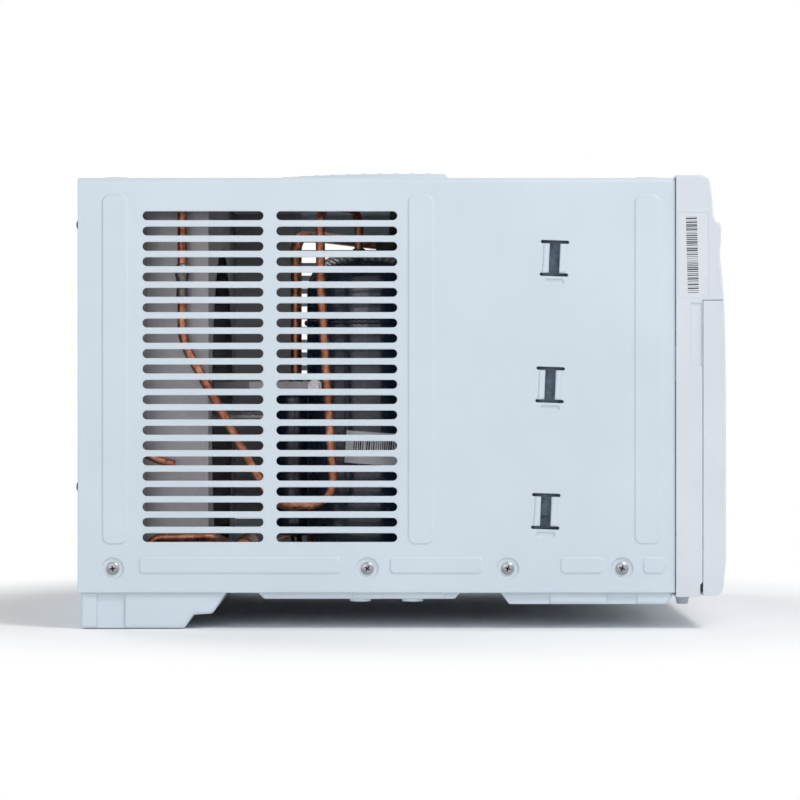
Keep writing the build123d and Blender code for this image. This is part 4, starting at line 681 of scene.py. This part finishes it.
lathe("dischargeCoupling", couplingProfile, riser, 28, brazedCopper, "cabinet")

# Compressor shell: the two halves meet in a rippled weld bead
seamSettings = {"Bead": 0.0022, "Ripple": 0.00035, "Beat": 1.9, "Steps": 220, "height": 0.262,
                "labelFilm": 0.0003, "proud": 0.0002}
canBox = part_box("compressor")
canX = middleOf(canBox).x
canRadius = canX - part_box("compressor_label")[0].x - seamSettings["labelFilm"]


def seamTree():
    tree, given = startTree("weldBead", [("Radius", "Float"), ("Bead", "Float"), ("Ripple", "Float"),
                                         ("Beat", "Float"), ("Steps", "Int"), ("Centre", "Vector"),
                                         ("Finish", "Material")])
    ring = addNode(tree, "GeometryNodeCurvePrimitiveCircle", None,
                   {"Resolution": given["Steps"], "Radius": given["Radius"]}).outputs[0]
    index = addNode(tree, "GeometryNodeInputIndex").outputs[0]
    beat = sums(tree, "SINE", sums(tree, "MULTIPLY", index, given["Beat"]))
    rippled = shifted(tree, ring, {2: sums(tree, "MULTIPLY", beat, given["Ripple"])})
    section = addNode(tree, "GeometryNodeCurvePrimitiveCircle", None,
                      {"Resolution": 8, "Radius": given["Bead"]}).outputs[0]
    bead = addNode(tree, "GeometryNodeCurveToMesh", None, {"Curve": rippled, "Profile Curve": section})
    placed = addNode(tree, "GeometryNodeTransform", None,
                     {"Geometry": bead.outputs[0], "Translation": given["Centre"]}).outputs[0]
    smooth = addNode(tree, "GeometryNodeSetShadeSmooth", None, {"Geometry": placed}).outputs[0]
    endTree(tree, smooth, given["Finish"])
    return tree


seamValues = {k: v for k, v in seamSettings.items() if k[0].isupper()}
seamValues.update({"Radius": canRadius + seamSettings["proud"], "Finish": finishes["black_paint"],
                   "Centre": (canX, canBox[0].y + canRadius, seamSettings["height"])})
grow("compressorSeam", seamTree(), seamValues, "cabinet")
print("pipe coupling and weld bead made")

# Hook lances: the sheet is pressed outwards on both sides of each I-shaped cut-out
lanceSettings = {"proud": 0.0008, "sink": 0.0004, "slope": 0.0013, "width": 0.0058, "stemHalf": 0.0046,
                 "shorter": 0.0062, "lean": 0.0019, "endSlope": 0.0006, "edge": 0.00025, "ribRise": 0.0009,
                 "cutIn": 0.0005, "cutHeight": (0.028, 0.036), "cutWidth": (0.022, 0.032)}


def lancesAt(mesh, low, high, side, face):  # one raised strip on each side of the stem, sloped at its ends
    middle = (low + high) / 2
    half = (high.z - low.z - lanceSettings["shorter"]) / 2
    inner, proud, sunk = lanceSettings["stemHalf"], lanceSettings["proud"], -lanceSettings["sink"]
    outer = inner + lanceSettings["width"]
    outline = [(inner, sunk), (inner, proud), (outer - lanceSettings["slope"], proud), (outer, sunk)]
    for way in (1, -1):
        ends = []
        for end in (-1, 1):
            lean = -lanceSettings["lean"] * end * half / (high.z - low.z)
            corners = []
            for along, out in outline:
                height = half - (lanceSettings["endSlope"] if out > 0 else 0)
                corners.append(mesh.verts.new((face + side * out, middle.y + way * along + lean,
                                               middle.z + end * height)))
            ends.append(corners)
        for k in range(4):
            after = (k + 1) % 4
            mesh.faces.new((ends[0][k], ends[0][after], ends[1][after], ends[1][k]))
        mesh.faces.new(ends[0])
        mesh.faces.new(ends[1])


def within(value, limits):
    return limits[0] < value < limits[1]


lanceMesh = bmesh.new()
wrapLow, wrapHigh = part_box("cabinet_wrap")
ribRise = lanceSettings["ribRise"]  # the ribs stand this far off the flat of the side
for side, face in ((-1, wrapLow.x + ribRise), (1, wrapHigh.x - ribRise)):
    for low, high in cutLoops("cabinet_wrap", 0, face - side * lanceSettings["cutIn"]):
        tall, wide = high.z - low.z, high.y - low.y
        if within(tall, lanceSettings["cutHeight"]) and within(wide, lanceSettings["cutWidth"]):
            lancesAt(lanceMesh, low, high, side, face)
bmesh.ops.recalc_face_normals(lanceMesh, faces=lanceMesh.faces)
bmesh.ops.bevel(lanceMesh, geom=lanceMesh.edges[:], offset=lanceSettings["edge"], segments=2, affect="EDGES")
lanceData = bpy.data.meshes.new("hookLances")
lanceMesh.to_mesh(lanceData)
lanceMesh.free()
lanceData.materials.append(finishes["painted_steel"])
lances = bpy.data.objects.new("hookLances", lanceData)
scene.collection.objects.link(lances)
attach(lances, "cabinet")
print("hook lances made:", len(lanceData.polygons), "faces")

# Button marks: thin raised strokes on each cap, in millimetres from its middle
markSettings = {"stroke": 0.24, "sink": 0.05}


def arc(radius, start, end, steps=18):  # from one angle to another, in degrees
    angles = [math.radians(start + (end - start) * k / steps) for k in range(steps + 1)]
    return [(radius * math.cos(a), radius * math.sin(a)) for a in angles]


def petal(turn):  # one fan blade, as a leaf that starts at the hub
    leaf = [(0.5, 0), (1.3, 0.85), (2.3, 1.0), (2.9, 0.3), (2.2, -0.35), (1.2, -0.3)]
    cosine, sine = math.cos(math.radians(turn)), math.sin(math.radians(turn))
    return [(x * cosine - z * sine, x * sine + z * cosine) for x, z in leaf]


buttonMarks = {  # strokes of each button; True closes the stroke
    "power_button": [(arc(2.5, 125, 415), False), ([(0, 0.4), (0, 3.1)], False)],
    "mode_button": [(arc(2.5, 0, 340), True), (arc(0.9, 0, 320, 8), True)],
    "fan_button": [(petal(90), True), (petal(210), True), (petal(330), True)],
    "warmer_button": [([(-2.2, -0.9), (0, 1.4), (2.2, -0.9)], False)],
    "cooler_button": [([(-2.2, 0.9), (0, -1.4), (2.2, 0.9)], False)],
}
markInk = mouldedPlastic("markInk", ("#4E545C", "#596068"), 0.6, 0.5, 0.1)
for node, strokes in buttonMarks.items():
    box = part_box(node)
    middle, face = middleOf(box), box[0].y
    curve = bpy.data.curves.new(node + "Mark", "CURVE")
    curve.dimensions = "3D"
    curve.bevel_depth = markSettings["stroke"] / 1000
    curve.bevel_resolution = 1
    curve.use_fill_caps = True
    for line, closed in strokes:
        spline = curve.splines.new("POLY")
        spline.points.add(len(line) - 1)
        spline.use_cyclic_u = closed
        for point, (x, z) in zip(spline.points, line):
            point.co = (middle.x + x / 1000, face + markSettings["sink"] / 1000, middle.z + z / 1000, 1)
    drawn = bpy.data.objects.new(node + "MarkCurve", curve)
    scene.collection.objects.link(drawn)
    bpy.context.view_layer.update()
    flat = bpy.data.meshes.new_from_object(drawn.evaluated_get(bpy.context.evaluated_depsgraph_get()))
    bpy.data.objects.remove(drawn)
    flat.materials.clear()
    flat.materials.append(markInk)
    mark = bpy.data.objects.new(node.replace("_button", "Mark"), flat)
    scene.collection.objects.link(mark)
    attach(mark, node)
print("button marks made")

studio = {  # camera square on to the left side, a little under half way up
    "distance": 2.4,  # from the cabinet's side wall
    "frameWidth": 0.6783,  # width of the picture at the side wall
    "eyeHeight": 0.194,
    "eyeAlong": 0.0008,
    "sensor": 36.0,
    "floorNear": 0.34,  # the floor turns to plain white between these distances
    "floorFar": 0.62,
    "floorReach": 6.0,
    "aim": (0, 0, 0.2),  # where the softboxes point
}
camera = bpy.data.cameras.new("sideCamera")
camera.sensor_width = studio["sensor"]
camera.lens = studio["sensor"] * studio["distance"] / studio["frameWidth"]
camera.clip_end = 30
cameraObject = bpy.data.objects.new("sideCamera", camera)
scene.collection.objects.link(cameraObject)
cameraObject.location = (wrapLow.x - studio["distance"], studio["eyeAlong"], studio["eyeHeight"])
cameraObject.rotation_euler = (math.radians(90), 0, math.radians(-90))
scene.camera = cameraObject


def seenDirectly(tree):  # 1 where the camera, a mirror or a glass looks, and 0 for light that bounces
    path = addNode(tree, "ShaderNodeLightPath").outputs
    return sums(tree, "MAXIMUM", sums(tree, "MAXIMUM", path["Is Camera Ray"], path["Is Glossy Ray"]),
                path["Is Transmission Ray"])


def makeStage():
    world = bpy.data.worlds.new("studioWorld")
    scene.world = world
    world.use_nodes = True
    tree = world.node_tree
    tree.nodes.clear()
    soft = addNode(tree, "ShaderNodeBackground", None, {"Color": (0.94, 0.97, 1.0, 1), "Strength": 0.34})
    white = addNode(tree, "ShaderNodeBackground", None, {"Color": (1, 1, 1, 1), "Strength": 1.0})
    mixed = addNode(tree, "ShaderNodeMixShader", None,
                    {0: seenDirectly(tree), 1: soft.outputs[0], 2: white.outputs[0]})
    addNode(tree, "ShaderNodeOutputWorld", None, {"Surface": mixed.outputs[0]})
    floorMesh = bpy.data.meshes.new("studioFloor")
    reach = studio["floorReach"]
    corners = [(-reach, -reach, 0), (reach, -reach, 0), (reach, reach, 0), (-reach, reach, 0)]
    floorMesh.from_pydata(corners, [], [(0, 1, 2, 3)])
    floor = bpy.data.objects.new("studioFloor", floorMesh)
    scene.collection.objects.link(floor)
    floor.location.z = cadBounds[0].z - 0.0005
    material, tree, shader, place = startMaterial("paleFloor", {"Roughness": 0.9})
    shader.inputs["Base Color"].default_value = linear("#FAFBFC")
    away = vectors(tree, "LENGTH", {0: place})["Value"]
    limits = {"Value": away, "From Min": studio["floorNear"], "From Max": studio["floorFar"]}
    fade = addNode(tree, "ShaderNodeMapRange", {"interpolation_type": "SMOOTHSTEP"}, limits).outputs[0]
    plain = addNode(tree, "ShaderNodeEmission", None, {"Color": (1, 1, 1, 1), "Strength": 1.0}).outputs[0]
    surface = addNode(tree, "ShaderNodeMixShader", None,
                      {0: sums(tree, "MULTIPLY", fade, seenDirectly(tree)), 1: shader.outputs[0], 2: plain})
    output = next(n for n in tree.nodes if n.type == "OUTPUT_MATERIAL")
    tree.links.new(surface.outputs[0], output.inputs["Surface"])
    floorMesh.materials.append(material)


lamps = {  # place, size and watts of each softbox; all look at the middle of the object
    "keySoftbox": {"place": (-1.5, -1.45, 2.3), "size": (0.8, 0.8), "watts": 42},
    "sideSoftbox": {"place": (-2.5, 0.9, 0.9), "size": (1.2, 1.2), "watts": 11},
    "backSoftbox": {"place": (1.7, 1.7, 1.9), "size": (1.6, 1.4), "watts": 20},
    "frontSoftbox": {"place": (0.7, -2.6, 1.0), "size": (1.6, 1.2), "watts": 12},
}


def addLamps():
    for name, settings in lamps.items():
        lamp = bpy.data.lights.new(name, "AREA")
        lamp.shape = "RECTANGLE"
        lamp.size, lamp.size_y = settings["size"]
        lamp.energy = settings["watts"]
        thing = bpy.data.objects.new(name, lamp)
        scene.collection.objects.link(thing)
        thing.location = settings["place"]
        way = Vector(studio["aim"]) - thing.location
        thing.rotation_euler = way.to_track_quat("-Z", "Y").to_euler()


makeStage()
addLamps()
scene.view_settings.view_transform = "Standard"
print("stage set")
